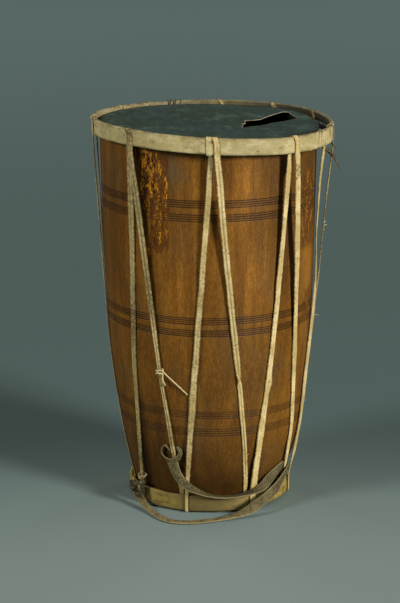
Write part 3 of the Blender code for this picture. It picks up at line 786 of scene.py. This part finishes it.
# Azimuths of each loop's rising and falling strand at these heights
LACE_HEIGHTS = [0.45, 0.30, 0.15, 0.02]
LACES = [
    ((-90.0, -96.0, -101.0, -105.5), (-77.2, -81.0, -82.0, -79.0)),
    ((-43.1, -44.6, -48.7, -54.3), (-39.9, -33.8, -27.0, -20.5)),
    ((1.3, -3.6, -9.7, -16.0), (3.6, 9.8, 18.6, 28.0)),
    ((41.4, 39.6, 35.9, 31.8), (43.4, 50.8, 59.2, 69.6)),
    ((75.0, 83.5, 74.5, 79.0), (83.0, 88.5, 101.0, 113.0)),
    ((115.9, 116.0, 117.5, 119.5), (119.9, 123.5, 127.5, 131.5)),
    ((144.0, 141.5, 138.5, 136.0), (147.5, 151.0, 155.0, 159.5)),
    ((172.2, 169.8, 167.0, 164.0), (175.7, 180.5, 186.0, 191.5)),
    ((210.0, 206.0, 201.0, 196.0), (213.5, 215.0, 217.0, 219.5)),
    ((231.0, 229.0, 226.5, 224.0), (234.5, 239.0, 244.5, 250.0)),
]
# Where the strap or the tie thread passes behind a strand: loop, height, distance from the shell
LIFTS = [(1, 0.0820, 0.0038), (1, 0.0910, 0.0038), (1, 0.1820, 0.0036), (3, 0.0330, 0.0040), (3, 0.0490, 0.0040)]
# How deeply each loop's rising and falling strand is folded down the middle, and how dark it is made: dirt, with
# painted shade on the first two loops at the left
FOLDS = [(0.3, 0.2), (0.45, 0.9), (0.25, 1.0), (0.25, 0.15), (0.3, 0.3), (0.7, 0.3), (0.8, 0.5), (0.8, 0.4),
         (0.3, 0.7), (0.9, 0.4)]
DIRT_AND_SHADE = [(0.45, 0.50), (0.72, 0.54), (0.34, 0.05), (0.0, 0.0), (0.05, 0.50), (0.3, 0.3), (0.3, 0.3), (0.4, 0.3),
        (0.5, 0.5), (0.3, 0.2)]
# Strands that are wider or narrower than the usual strip: height and share of its width
WIDTHS = {
    (1, 0): [(0.02, 0.90), (0.10, 1.0), (0.20, 1.25), (0.36, 1.25), (0.46, 1.1)],
    (1, 1): [(0.02, 0.90), (0.09, 0.90), (0.13, 0.75), (0.19, 0.72), (0.26, 1.05), (0.31, 1.30), (0.46, 1.15)],
    (2, 0): [(0.004, 0.62), (0.02, 0.62), (0.035, 0.80), (0.09, 1.0), (0.145, 1.28), (0.19, 1.10), (0.30, 1.02),
             (0.46, 1.05)],
    (2, 1): [(0.02, 0.90), (0.15, 0.92), (0.20, 1.12), (0.40, 1.18), (0.46, 1.10)],
    (3, 0): [(0.02, 1.40), (0.09, 1.40), (0.14, 1.22), (0.25, 1.15), (0.40, 1.12), (0.446, 1.25)],
    (3, 1): [(0.02, 1.15), (0.10, 1.25), (0.20, 1.30), (0.30, 1.36), (0.46, 1.30)],
    (4, 0): [(0.02, 1.30), (0.20, 1.35), (0.46, 1.45)],
    (4, 1): [(0.02, 0.85), (0.46, 0.95)],
    (0, 0): [(0.02, 0.95), (0.46, 0.95)],
    (0, 1): [(0.02, 0.85), (0.46, 0.85)],
}
USUAL_WIDTH = [(0.02, 1.0), (0.46, 1.0)]
# Half turns in a strand: loop, rising 0 or falling 1, height, length over which it turns
TWISTS = [(6, 0, 0.240, 0.030), (8, 1, 0.150, 0.034)]


def taut(loop, knots, start, end):
    """(height, radius) of a strand pulled tight over the shell between its two ends."""
    off = GAP + 0.0001 + LACE_THICKNESS / 2
    places = [(z, off) for z in np.linspace(end[0] + 0.001, start[0] - 0.002, 60)]
    places += [(z, out) for at, z, out in LIFTS if at == loop]
    points = [(z, shell_radius(z) + fullness(float(smooth(knots, z)), z) + out) for z, out in places]
    hull = []
    for z, r in sorted(points + [start, end]):
        while len(hull) > 1:
            (z0, r0), (z1, r1) = hull[-2:]
            if (z1 - z0) * (r - r0) < (r1 - r0) * (z - z0):
                break
            hull.pop()
        hull.append((z, r))
    return hull


def strand(loop, azimuths, hoop_radius, foot):
    """Points of one strand from just below the hoop down to its foot at the ring."""
    head = hoop_point(azimuths[0], hoop_radius, HOOP_DEPTH)
    knots = list(zip(LACE_HEIGHTS, azimuths))
    hull = taut(loop, knots, (head.z, math.hypot(head.x, head.y)), foot)
    path = np.linspace(head.z - 0.004, foot[0], 130)
    return [polar(float(smooth(knots, z)), float(straight(hull, z)), z) for z in path]


def lace_line(loop, up, down):
    """(points down the middle, which strand each is on) for one loop of the lacing."""
    clear = 0.0013 * RIM_THIN[loop >= FRONT_LOOPS]
    inside, outside = HOOP_OUTER - HOOP_WALL - clear, HOOP_OUTER + clear
    turn, middle = HOOP_WALL / 2 + clear, HOOP_OUTER - HOOP_WALL / 2
    rise, fall = up[0], down[0]
    shares = (0.97, 0.85, 0.7, 0.55, 0.4, 0.28)
    over = [(rise, inside, HOOP_DEPTH * share) for share in shares]
    for k in range(15):
        bend = math.pi * (1 - k / 14)
        at = rise + (fall - rise) * (0.25 + 0.5 * k / 14)
        over.append((at, middle + turn * math.cos(bend), HOOP_WALL / 2 - turn * math.sin(bend)))
    over += [(fall, outside, HOOP_DEPTH * share) for share in shares[::-1]]
    rim = [hoop_point(*at) for at in over]
    ring_out = RING_OUTER + 2 * GAP + LACE_THICKNESS / 2
    low, high = RING_BOTTOM - GAP - LACE_THICKNESS / 2, RING_BOTTOM + RING_DEPTH
    start = [polar(up[3], RING_OUTER - RING_WALL, low), polar(up[3], ring_out - 0.0034, low)]
    for bend in (0.25, 0.5, 0.75, 1.0):
        c, s = math.cos(bend * math.pi / 2), math.sin(bend * math.pi / 2)
        start.append(polar(up[3], ring_out - 0.0024 * (1 - s), low + 0.0024 * (1 - c)))
    start += [polar(up[3], ring_out, z) for z in np.linspace(low + 0.004, high - 0.001, 6)]
    rising = strand(None, up, inside, (high + 0.0007, ring_out))[::-1]
    falling = strand(loop, down, outside, (high + 0.0007, shell_radius(high) + 0.0014))
    behind = [polar(down[3], shell_radius(z) + out, z) for z, out in
              ((0.0185, 0.0016), (0.0145, 0.0019), (0.0100, 0.0022), (0.0070, 0.0023), (0.0040, 0.0024))]
    first = start + rising + rim[:len(rim) // 2]
    second = rim[len(rim) // 2:] + falling + behind
    return first + second, [0] * len(first) + [1] * len(second)


def eased(points, passes):
    """The line again with its corners eased."""
    line = np.array([tuple(p) for p in points])
    for _ in range(passes):
        line[1:-1] = 0.5 * line[1:-1] + 0.25 * (line[:-2] + line[2:])
    return [Vector(p) for p in line]


def strip_section(sides, width, thickness, blunt, flat):
    """(across, out, and the cosine and sine of the turn) round the section of a strip with rounded edges."""
    for k in range(sides):
        c, s = math.cos(2 * math.pi * k / sides), math.sin(2 * math.pi * k / sides)
        yield (0.5 * width * math.copysign(abs(c) ** blunt, c), 0.5 * thickness * math.copysign(abs(s) ** flat, s),
               c, s)


def drawn_in(loop, way, point, free, rim):
    """How far a strand lies further out than its pulled line. The fifth loop's strands have been drawn in towards
    the shell and have stayed so."""
    if loop != 4:
        return 0.0
    z = point.z
    turn = math.degrees(math.atan2(point.x, -point.y))
    room = math.hypot(point.x, point.y) - shell_radius(z) - fullness(turn, z) - 0.0016
    drawn = 0.0016 * bell(z, 0.355, 0.065) if way else 0.0044 * bell(z, 0.395, 0.05) + 0.0034 * bell(z, 0.328, 0.04)
    return 0.0009 * free * ease(0.34, 0.20, z) * (1 - way) - min(drawn * (1 - rim), max(0.0, room))


lace_hide = new_look("rawhide_thong")
place = place_on(lace_hide)
stain, speck, grain = hide_marks(place, 72, 0.52)
blots = cloud(place, 300, 4, 0.65)
dirt = marked(place, "dirt")
colour = coated(
    blend(between(cloud(place, 38, 5), 0.38, 0.64), (0.600, 0.434, 0.152), (0.860, 0.655, 0.300)),
    (times(stain, 0.50), (0.470, 0.325, 0.110)),
    (between(blots, 0.56, 0.65, 0, 0.65), (0.215, 0.145, 0.050)),
    (times(speck, 0.65), (0.130, 0.085, 0.030)),
    # Painted shade: the strip darkened along its edges and down the valley of its fold
    (times(marked(place, "lace_edge"), between(blots, 0.30, 0.60, 0.50, 1.0)), (0.100, 0.064, 0.018)),
    (times(marked(place, "crease"), 0.88), (0.095, 0.062, 0.018)),
    (times(dirt, between(blots, 0.36, 0.58, 0.55, 1.25)), (0.120, 0.084, 0.020)),
    # Above 0.9 the strip turns near black: painted shade on the first loop below the hoop, and the frayed tail's dark
    # brown
    (between(dirt, 0.9, 1.5), (0.012, 0.009, 0.004)),
)
finish(lace_hide, colour, between(grain, 0.7, 1.3, 0.42, 0.62), 0.35, minus(grain, blots), 0.7, 0.0006)

strands = []
for loop, (up, down) in enumerate(LACES):
    line, which = lace_line(loop, up, down)
    line = eased(line, 2)
    rows, middles, marks = [], [], []
    travelled = 0.0
    rear = loop >= FRONT_LOOPS
    for k, (point, way) in enumerate(zip(line, which)):
        on, z = (loop, way), point.z
        travelled += (point - line[max(k - 1, 0)]).length
        ahead = heading(line, k)
        side = Vector((-point.y, point.x, 0)).normalized()
        side = (side - ahead * side.dot(ahead)).normalized()
        face = side.cross(ahead)
        outer = -1 if way else 1
        hoop_bottom = HOOP_TOP - HOOP_DEPTH + hoop_lift(point.x, point.y)
        free = ease(0.0, 0.03, z - 0.03) * ease(0.0, 0.02, hoop_bottom - z)
        rim = ease(-0.003, 0.003, z - hoop_bottom)
        # How far the strip is turned about its own length
        angle = 0.24 * free * waver(travelled * 14, loop * 5.1, 4.0)
        for at, falling, height, length in TWISTS:
            if on == (at, falling):
                angle += math.pi * ease(height - length / 2, height + length / 2, z)
        if on == (2, 1):
            angle += 0.95 * bell(z, 0.1735, 0.0065)
        if on == (4, 0):
            angle += (0.08 + 0.26 * ease(0.34, 0.20, z)) * free
        if on == (4, 1):
            angle -= 0.17 * free
        turned_side = side * math.cos(angle) + face * math.sin(angle)
        turned_face = face * math.cos(angle) - side * math.sin(angle)
        # Its width, its two edges, and its fold
        share = float(straight(WIDTHS.get(on, USUAL_WIDTH), z))
        over_rim = 0.90 if rear else 1.28 if loop == 1 else 1.08
        width = LACE_WIDTH * (share + (over_rim - share) * rim)
        left, right = (1 + 0.16 * waver(travelled * 42, loop * 1.9, broad) + 0.05 * waver(travelled * 260, loop, fine)
                       for broad, fine in ((9.0, 1.0), (15.0, 5.0)))
        if on == (3, 0):
            right += 0.62 * bell(z, 0.1635, 0.0060) - 0.22 * bell(z, 0.1490, 0.0030)
        fold = FOLDS[loop][way] * (0.75 + 0.5 * waver(travelled * 12, loop, 6.0)) * max(free, 0.35)
        fold = max(0.0, min(1.0, fold)) * min(1.0, abs(k - which.index(1)) / 8)
        drift = 0.10 * waver(travelled * 9, loop * 2.3, 12.0)
        thin = LACE_THICKNESS * (1 + (RIM_THIN[rear] - 1) * rim)
        centre = point + side * (0.00045 * waver(travelled * 22, loop * 3.7, 0) * free)
        centre += Vector((point.x, point.y, 0)).normalized() * drawn_in(loop, way, point, free, rim)
        middles.append(centre)
        # Its dirt, and painted shade on the first loop below the hoop, dark enough to turn it near black
        dirt = DIRT_AND_SHADE[loop][way] * (0.75 + 0.7 * waver(travelled * 18, loop * 4.3, 2.0))
        if rear:
            dirt = max(dirt, (0.70, 0.50)[way] * rim)
        if loop == 2:
            dirt += 0.16 * rim
        if loop == 1:
            dirt += 0.40 * rim * ease(0.006, 0.0, abs(z - hoop_bottom - 0.0165))
        dirt = max(0.0, min(0.9, dirt))
        if loop == 0:
            dirt += 0.38 * ease(0.392, 0.418, z) * (1 - rim)
        row = []
        for u, v, c, s in strip_section(LACE_SIDES, width, thin, 0.85, 0.75):
            u *= right if c > 0 else left
            crease = 0.0
            if s * outer > 0:
                valley = bell(u / width, drift, 0.12)
                v += outer * thin * (0.34 * fold * (1 - 2.3 * valley) * (1 - abs(c) ** 3))
                crease = valley * fold
                if on == (3, 1) and 0.4130 < z < 0.4330:
                    crease = max(crease, ease(0.30, 0.10, abs((z / 0.0052 + 1.1 * u / width) % 1.0 - 0.5)))
            row.append(centre + turned_side * u + turned_face * v)
            # The fold's valley and the strip's edges are marked to be painted as shade
            marks.append((crease, ease(0.56, 0.93, abs(c)), dirt))
        rows.append(row)
    strands.append([[p for p, on in zip(middles, which) if on == way] for way in (0, 1)])
    lace = loft(f"lacing_{loop + 1:02d}", rows)
    mark(lace, "crease lace_edge dirt", marks)
    dress(lace, lace_hide, f"lace_{loop + 1:02d}")


# Loose ends of the thong: a dry frayed tail that stands out below the hoop at the right, and slivers and nubs
# where the strips were nicked or pieced. Each is stiff hide, drawn to a point.
TAIL = [(0.1330, -0.024, 0.4400), (0.1374, -0.020, 0.4363), (0.1411, -0.020, 0.4338), (0.1447, -0.020, 0.4302),
        (0.1496, -0.020, 0.4253), (0.1532, -0.020, 0.4204), (0.1563, -0.020, 0.4143), (0.1582, -0.020, 0.4069)]
SECOND = [(0.1447, -0.020, 0.4302), (0.1478, -0.022, 0.4284), (0.1512, -0.024, 0.4262), (0.1538, -0.026, 0.4222)]
STUB = [(0.1440, -0.022, 0.4440), (0.1490, -0.025, 0.4404), (0.1518, -0.026, 0.4368), (0.1532, -0.026, 0.4330)]
# Slivers: loop, rising 0 or falling 1, height of the root, then how far the tip goes to the right (as seen from
# outside), out and up, and the thickness
SLIVERS = [
    (2, 1, 0.0672, 0.0052, 0.0014, 0.0064, 0.00085), (2, 1, 0.0660, -0.0016, 0.0016, 0.0072, 0.00070),
    (4, 1, 0.3370, 0.0010, 0.0050, 0.0010, 0.00130), (4, 1, 0.3400, 0.0004, 0.0036, 0.0034, 0.00100),
    (4, 1, 0.3330, 0.0006, 0.0024, -0.0024, 0.00070), (4, 1, 0.2200, 0.0010, 0.0080, -0.0016, 0.00060),
    (4, 1, 0.2230, 0.0010, 0.0034, 0.0064, 0.00050), (4, 1, 0.2195, 0.0000, 0.0030, -0.0040, 0.00050),
    (4, 0, 0.1235, 0.0006, 0.0040, 0.0000, 0.00090), (4, 0, 0.1245, 0.0006, 0.0030, 0.0026, 0.00060),
    (4, 1, 0.3750, 0.0006, 0.0020, 0.0030, 0.00060), (3, 1, 0.1600, 0.0034, 0.0010, 0.0030, 0.00050),
    (1, 0, 0.0640, 0.0032, 0.0016, 0.0040, 0.00060),
]


def gathered(name, pieces):
    """One piece of several."""
    together = bmesh.new()
    for piece in pieces:
        together.from_mesh(piece.data)
        bpy.data.objects.remove(piece)
    mesh = bpy.data.meshes.new(name)
    together.to_mesh(mesh)
    together.free()
    mesh.shade_smooth()
    return placed(name, mesh)


def drawn_out(share):
    return max(0.12, 1 - 0.88 * share)


tail = [strand_of("strand", eased(TAIL, 1), 0.00250, 7, drawn_out), strand_of("strand", SECOND, 0.00165, 6, drawn_out),
        strand_of("strand", STUB, 0.00130, 6, drawn_out)]
for across, drop in ((0.0012, -0.0016), (-0.0006, 0.0016), (0.0020, 0.0030)):
    beside = [Vector(p) + Vector((across, 0, drop)) * (k / 4) for k, p in enumerate(TAIL[:6])]
    tail.append(strand_of("strand", eased(beside, 1), 0.00095, 6, drawn_out))
slivers = []
for loop, falling, height, right, out, up, thick in SLIVERS:
    root = min(strands[loop][falling], key=lambda p: abs(p.z - height))
    away = Vector((root.x, root.y, 0)).normalized()
    way = Vector((-away.y, away.x, 0)) * right + away * out + Vector((0, 0, up))
    bent = Vector((0, 0, 0.12 * way.length))
    steps = [root - way * 0.12, root + way * 0.2 + bent * 0.6, root + way * 0.6 + bent, root + way]
    slivers.append(strand_of("strand", steps, thick, 6, drawn_out))
for name, pieces, dirt in (("frayed_tail", tail, 1.12), ("lace_slivers", slivers, 0.05)):
    piece = gathered(name, pieces)
    mark(piece, "crease lace_edge dirt", (0.0, 0.0, dirt))
    dress(piece, lace_hide)


# Tie thread: a thin twisted line hitched round the second loop's falling strand and drawn across to the third,
# with a short loose tail.
TIE_HEIGHT = 0.182
TIE_RADIUS = 0.00092
TIE_TAIL = [(-25.0, 0.1236, 0.1655), (-25.7, 0.1246, 0.1700), (-26.8, 0.1258, 0.1752)]
TIE_RUN = [(-25.0, 0.1234, 0.1800), (-22.6, 0.1221, 0.1750), (-19.5, 0.1209, 0.1688), (-16.2, 0.1198, 0.1628),
           (-12.6, 0.1187, 0.1552)]
around = float(smooth(list(zip(LACE_HEIGHTS, LACES[1][1])), TIE_HEIGHT))
tie = [polar(*at) for at in TIE_TAIL]
for k in range(75):
    bend = 2 * math.pi * k / 24
    out = shell_radius(TIE_HEIGHT) + 0.0037 + (0.0024 + 0.0005 * math.sin(k * 0.7)) * math.sin(bend)
    z = 0.1795 + 0.0050 * (k / 74) + 0.0012 * math.sin(bend * 1.5)
    tie.append(polar(around + 2.2 * math.cos(bend), out, z))
tie += [polar(*at) for at in TIE_RUN]
tie_line = strand_of("tie_line", eased(tie, 1), TIE_RADIUS)
twisted = new_look("twisted_fibre")
stain, speck, grain = hide_marks(place_on(twisted), 90, 0.6)
colour = blend(stain, (0.58, 0.46, 0.22), (0.33, 0.24, 0.095))
finish(twisted, colour, between(grain, 0.7, 1.3, 0.6, 0.85), 0.5, grain, 0.5, 0.0005)
dress(tie_line, twisted, "tie_thread")


# Carrying strap: one strip of grey-brown suede-like leather. Its slit end is opened round the second loop's
# falling strand; from there it runs over the ring, folds round the fourth loop, comes back down to the floor and
# goes round the front to a knot at the left.
STRAP_WIDTH = 0.0110
STRAP_THICKNESS = 0.0022
# Azimuth, radius, height, and how far the face turns from facing out (0) to facing up (1)
STRAP = [
    (-24.8, 0.1075, 0.0655, 0.00), (-24.3, 0.1068, 0.0626, 0.00), (-21.0, 0.1067, 0.0492, 0.12),
    (-15.3, 0.1088, 0.0384, 0.48), (-7.5, 0.1074, 0.0306, 0.74), (0.4, 0.1062, 0.0252, 0.94),
    (8.3, 0.1056, 0.0228, 1.00), (15.1, 0.1058, 0.0226, 1.00), (22.0, 0.1072, 0.0240, 0.96),
    (28.6, 0.1088, 0.0262, 0.86), (36.0, 0.1076, 0.0292, 0.62), (46.8, 0.1020, 0.0358, 0.20),
    (56.0, 0.0998, 0.0400, -0.06), (62.5, 0.0989, 0.0412, -0.14), (68.0, 0.0987, 0.0410, -0.15),
    (71.8, 0.0990, 0.0402, -0.15), (73.3, 0.1006, 0.0384, -0.15), (71.8, 0.1023, 0.0360, -0.15),
    (67.0, 0.1029, 0.0334, -0.14), (59.0, 0.1050, 0.0300, -0.10), (48.5, 0.1098, 0.0248, 0.04),
    (39.0, 0.1142, 0.0196, 0.18), (29.8, 0.1188, 0.0138, 0.38), (21.8, 0.1210, 0.0076, 0.62),
    (15.0, 0.1214, 0.0040, 0.88), (7.0, 0.1236, 0.0018, 1.00), (-2.4, 0.1299, 0.0016, 1.00),
    (-10.9, 0.1366, 0.0016, 1.00), (-19.0, 0.1380, 0.0016, 1.00), (-26.7, 0.1310, 0.0016, 1.00),
    (-34.0, 0.1220, 0.0020, 1.00), (-40.5, 0.1164, 0.0042, 1.00), (-46.0, 0.1128, 0.0080, 0.97),
    (-50.5, 0.1108, 0.0124, 0.78), (-53.6, 0.1099, 0.0172, 0.42), (-55.0, 0.1096, 0.0225, 0.10),
    (-55.1, 0.1094, 0.0305, 0.00),
]
# Along its length from the slit end (0) to the knot (1): the share of its width, and how dark it is
STRAP_WIDTHS = [(0, 1.22), (0.025, 1.12), (0.06, 0.92), (0.15, 0.82), (0.28, 1.02), (0.36, 1.30), (0.46, 1.28),
                (0.55, 1.08), (1, 0.82)]
STRAP_SHADES = [(0, 0.1), (0.05, 0.1), (0.12, 0.4), (0.2, 0.6), (0.30, 0.05), (0.36, 0.0), (0.46, 0.12),
                (0.56, 0.05), (0.9, 0), (1, 0.7)]


def resampled(points, step):
    """Evenly spaced values along a smooth curve through rows of numbers, by the length of their first three."""
    table = np.array([tuple(p) for p in points], float)
    along = np.concatenate([[0], np.cumsum(np.linalg.norm(np.diff(table[:, :3], axis=0), axis=1))])
    at = np.linspace(0, along[-1], max(2, round(along[-1] / step) + 1))
    return np.stack([smooth(list(zip(along, table[:, k])), at) for k in range(table.shape[1])], axis=1)


path = [polar(*at[:3]) for at in STRAP]
table, before = [], None
for k, (azimuth, _, _, turn) in enumerate(STRAP):
    face = polar(azimuth, 1, 0) * math.cos(turn * math.pi / 2) + Vector((0, 0, math.sin(turn * math.pi / 2)))
    side = heading(path, k).cross(face).normalized()
    if before is not None and side.dot(before) < 0:
        side = -side
    before = side
    table.append((*path[k], *side))
table = resampled(table, 0.0026)
strap_path = [Vector(values[:3]) for values in table]
rows, marks = [], []
for k, point in enumerate(strap_path):
    way, side = heading(strap_path, k), Vector(table[k][3:])
    side = (side - way * side.dot(way)).normalized()
    face = way.cross(side)
    share = k / (len(table) - 1)
    width = STRAP_WIDTH * (1 + 0.06 * waver(k * 0.11, 2.0, 0)) * float(straight(STRAP_WIDTHS, share))
    row = []
    for u, v, _, _ in strip_section(20, width, STRAP_THICKNESS, 0.55, 0.7):
        rough = 0.00018 * noise.noise((point + side * u) * 330)
        row.append(point + side * (u + rough) + face * (v + rough * (0.4 if point.z < 0.003 else 1)))
        marks.append((ease(0.40, 0.49, abs(u) / width), straight(STRAP_SHADES, share)))
    rows.append(row)
strap = loft("carrying_strap", rows)
mark(strap, "strap_edge shade", marks)
strap_leather = new_look("worn_suede_strap")
place = place_on(strap_leather)
stain, speck, grain = hide_marks(place, 52, 0.6)
height = height_of(place)
on_floor = between(height, 0.014, 0.004)
mottled = cloud(place, 165, 3, 0.6)
nap = cloud(place, 780, 2, 0.6)
colour = coated(
    blend(between(cloud(place, 34, 4), 0.38, 0.64), (0.066, 0.052, 0.0180), (0.150, 0.118, 0.0460)),
    (times(stain, 0.55), (0.046, 0.034, 0.0100)),
    (between(height, 0.012, 0.002, 0, 0.60), (0.270, 0.205, 0.084)),
    (times(between(mottled, 0.52, 0.60, 0, 0.80), on_floor), (0.360, 0.245, 0.080)),
    (times(between(mottled, 0.48, 0.38, 0, 0.85), on_floor), (0.075, 0.050, 0.016)),
    (between(nap, 0.50, 0.64, 0, 0.65), (0.290, 0.232, 0.105)),
    (between(nap, 0.46, 0.34, 0, 0.65), (0.024, 0.018, 0.0055)),
    (marked(place, "shade"), (0.024, 0.0165, 0.0045)),
    (times(marked(place, "strap_edge"), 0.72), (0.310, 0.250, 0.115)),
)
relief = plus(grain, times(nap, 1.6))
finish(strap_leather, colour, between(grain, 0.7, 1.3, 0.72, 0.92), 0.25, relief, 0.8, 0.0007)
dress(strap, strap_leather, "carry_strap")

# The slit end: the left half stands on edge in a tall bow, the right half lies flatter, and they join behind the
# lace. Azimuth, distance from the shell, height, width, and how far the strip is turned on edge (0 to 1)
EYE = [
    (-27.2, 0.0054, 0.0668, 0.0070, 0.25), (-30.4, 0.0046, 0.0705, 0.0062, 0.55), (-31.9, 0.0041, 0.0765, 0.0054, 0.80),
    (-30.9, 0.0038, 0.0830, 0.0050, 0.88), (-28.9, 0.0036, 0.0872, 0.0048, 0.90), (-26.8, 0.0032, 0.0836, 0.0044, 0.84),
    (-25.2, 0.0022, 0.0795, 0.0036, 0.60), (-23.6, 0.0013, 0.0772, 0.0030, 0.10), (-22.3, 0.0013, 0.0806, 0.0032, 0.00),
    (-21.2, 0.0018, 0.0841, 0.0036, 0.05), (-19.6, 0.0026, 0.0826, 0.0044, 0.15), (-18.8, 0.0036, 0.0786, 0.0050, 0.25),
    (-19.6, 0.0046, 0.0742, 0.0056, 0.25), (-21.2, 0.0053, 0.0702, 0.0064, 0.22), (-23.2, 0.0057, 0.0676, 0.0072, 0.20),
    (-25.2, 0.0057, 0.0664, 0.0074, 0.20), (-27.2, 0.0054, 0.0668, 0.0070, 0.25),
]
EYE_THICKNESS = 0.0015
EYE_HEIGHT = 0.0765
eye_middle = polar(-25.4, shell_radius(EYE_HEIGHT) + 0.004, EYE_HEIGHT)
table = [(*polar(a, shell_radius(z) + out, z), width, turn) for a, out, z, width, turn in EYE]
table = resampled(table, 0.0011)[:-1]
rows, marks = [], []
for k, (*point, width, on_edge) in enumerate(table):
    point = Vector(point)
    way = (Vector(table[(k + 1) % len(table)][:3]) - Vector(table[k - 1][:3])).normalized()
    outward = Vector((point.x, point.y, 0)).normalized()
    turn = on_edge * math.pi / 2
    side = (way.cross(outward).normalized() * math.cos(turn) + outward * math.sin(turn)).normalized()
    side = (side - way * side.dot(way)).normalized()
    face = side.cross(way)
    within = 1 if face.dot(eye_middle - point) > 0 else -1
    row = []
    for u, v, _, s in strip_section(14, width, EYE_THICKNESS, 0.6, 0.7):
        row.append(point + side * u + face * v)
        shade = 0.85 * ease(0.2, 0.6, on_edge) if s * within > 0.05 else 0.15
        marks.append((0.9 * ease(0.38, 0.49, abs(u) / width), shade))
    rows.append(row)
strap_eye = loft("strap_slit_end", rows, joined=True)
mark(strap_eye, "strap_edge shade", marks)
dress(strap_eye, strap_leather)

# The knot at the left: the strap's end wrapped round itself and tucked, with its last end hanging down in front
HANGING = [(-50.5, 0.1128, 0.0310), (-49.6, 0.1146, 0.0268), (-48.6, 0.1142, 0.0216), (-48.0, 0.1124, 0.0160),
           (-47.6, 0.1104, 0.0112), (-47.8, 0.1092, 0.0078)]
knot, over = [], []
for k in range(85):
    bend = 2 * math.pi * k / 36
    c, s = math.cos(bend), math.sin(bend)
    z = 0.0205 + 0.0088 * (k / 84) + 0.0010 * c
    knot.append(polar(-54.6 + (5.4 + 0.7 * math.sin(k * 0.23)) * c, 0.1094 + 0.0050 * s, z))
for k in range(40):
    bend = 2 * math.pi * k / 36 + 0.6
    c, s = math.cos(bend), math.sin(bend)
    over.append(polar(-52.4 + 3.6 * c, 0.1098 + 0.0062 * s, 0.0248 + 0.0072 * c))
hanging = eased([polar(*at) for at in HANGING], 1)
strap_wraps = gathered("strap_wraps", [
    strand_of("strand", knot, 0.0021, 10), strand_of("strand", over, 0.0020, 10),
    strand_of("strand", hanging, 0.0021, 10, lambda share: 1 - 0.35 * share)])
flecked = [max(0.0, noise.noise(v.co * 330)) for v in strap_wraps.data.vertices]
mark(strap_wraps, "strap_edge shade", [(2.6 * max(0.0, f - 0.12), 0.80) for f in flecked])
dress(strap_wraps, strap_leather, "strap_knot")


# Hitch beside the knot: a thin cream thong of the lacing's hide, wound round the second loop's rising strand and
# pulled down in front.
HITCH_RADIUS = 0.00082
hitch = []
for k in range(53):
    bend = 2 * math.pi * k / 24 - 0.6
    c, s = math.cos(bend), math.sin(bend)
    dip = (0.0072 if k < 26 else 0.0034) * max(0.0, s) ** 1.5
    z = 0.0392 - 0.0020 * (k / 52) - dip + 0.0010 * c
    hitch.append(polar(-53.2 + (4.2 + 0.5 * math.sin(k * 0.31)) * c, 0.1005 + 0.134 * (z - 0.0225) + 0.0031 * s, z))
lace_wraps = strand_of("lace_wraps", eased(hitch, 1), HITCH_RADIUS)
mark(lace_wraps, "crease lace_edge dirt", (0.0, 0.0, 0.55))
dress(lace_wraps, lace_hide, "lace_hitch")


# Floor, lights and camera: a pale floor with a pool of light painted on it in front of the drum, darker round
# it and paler again far away, two broad soft lamps in front at left and right, the right one stronger, two dim
# ones behind, and a camera a little above the drum.
FLOOR_REACH = 70
FLOOR_HEIGHT = -0.0004
# Azimuth, elevation, size and power of each lamp
LAMPS = {"right_lamp": (47, 20, 2.6, 1090), "left_lamp": (-58, 27, 3.0, 500),
         "rear_right_lamp": (142, 22, 3.0, 120), "rear_left_lamp": (-142, 22, 3.0, 120)}
LAMP_DISTANCE = 10
LIT_POINT = Vector((0, 0, 0.25))
SENSOR = 36
FOCAL_SHARE = 2200 / 603  # focal length as a share of the picture's height
floor_mesh = bpy.data.meshes.new("floor")
corners = [(FLOOR_REACH * x, FLOOR_REACH * y, FLOOR_HEIGHT) for x, y in ((-1, -1), (1, -1), (1, 1), (-1, 1))]
floor_mesh.from_pydata(corners, [], [(0, 1, 2, 3)])
floor = placed("floor", floor_mesh)
floor_light_pool = new_look("floor_light_pool")
place = place_on(floor_light_pool)
tree = floor_light_pool.node_tree
away = node(tree, "VectorMath", {0: place, 1: (0, -0.6, 0)}, operation="DISTANCE").outputs["Value"]
behind = node(tree, "SeparateXYZ", {0: place}).outputs["Y"]
distant = node(tree, "VectorMath", {0: place}, operation="LENGTH").outputs["Value"]
# Painted light on the floor: a pool round a point in front of the drum, dimmer beyond it, and paler again behind and
# far away
colour = coated(
    blend(between(away, 0.34, 0.92), (0.232, 0.302, 0.270), (0.080, 0.129, 0.116)),
    (between(behind, 0.8, 5.4), (0.163, 0.253, 0.237)),
    (between(distant, 5.8, 15.0), (0.62, 0.74, 0.71)),
)
finish(floor_light_pool, colour, 0.9)
floor_mesh.materials.append(floor_light_pool)

for name, (azimuth, elevation, size, power) in LAMPS.items():
    data = bpy.data.lights.new(name, "AREA")
    data.shape = "DISK"
    data.size = size
    data.energy = power
    lamp = placed(name, data)
    rise = math.radians(elevation)
    lamp.location = polar(azimuth, math.cos(rise), math.sin(rise)) * LAMP_DISTANCE + LIT_POINT
    lamp.rotation_euler = (LIT_POINT - lamp.location).to_track_quat("-Z", "Y").to_euler()
world = bpy.data.worlds.new("studio")
world.use_nodes = True
world.node_tree.nodes["Background"].inputs["Color"].default_value = (0.60, 0.62, 0.58, 1)
world.node_tree.nodes["Background"].inputs["Strength"].default_value = 0.06
bpy.context.scene.world = world
bpy.context.scene.view_settings.view_transform = "Standard"

view = bpy.data.cameras.new("camera")
view.sensor_fit = "VERTICAL"
view.sensor_height = SENSOR
view.lens = SENSOR * FOCAL_SHARE
camera = placed("camera", view)
camera.location = (-0.0107, -2.6234, 0.9081)
tilted = Euler((math.radians(90 - 14.28), 0, 0)).to_matrix()
camera.rotation_euler = (tilted @ Matrix.Rotation(math.radians(-0.18), 3, "Z")).to_euler()
bpy.context.scene.camera = camera
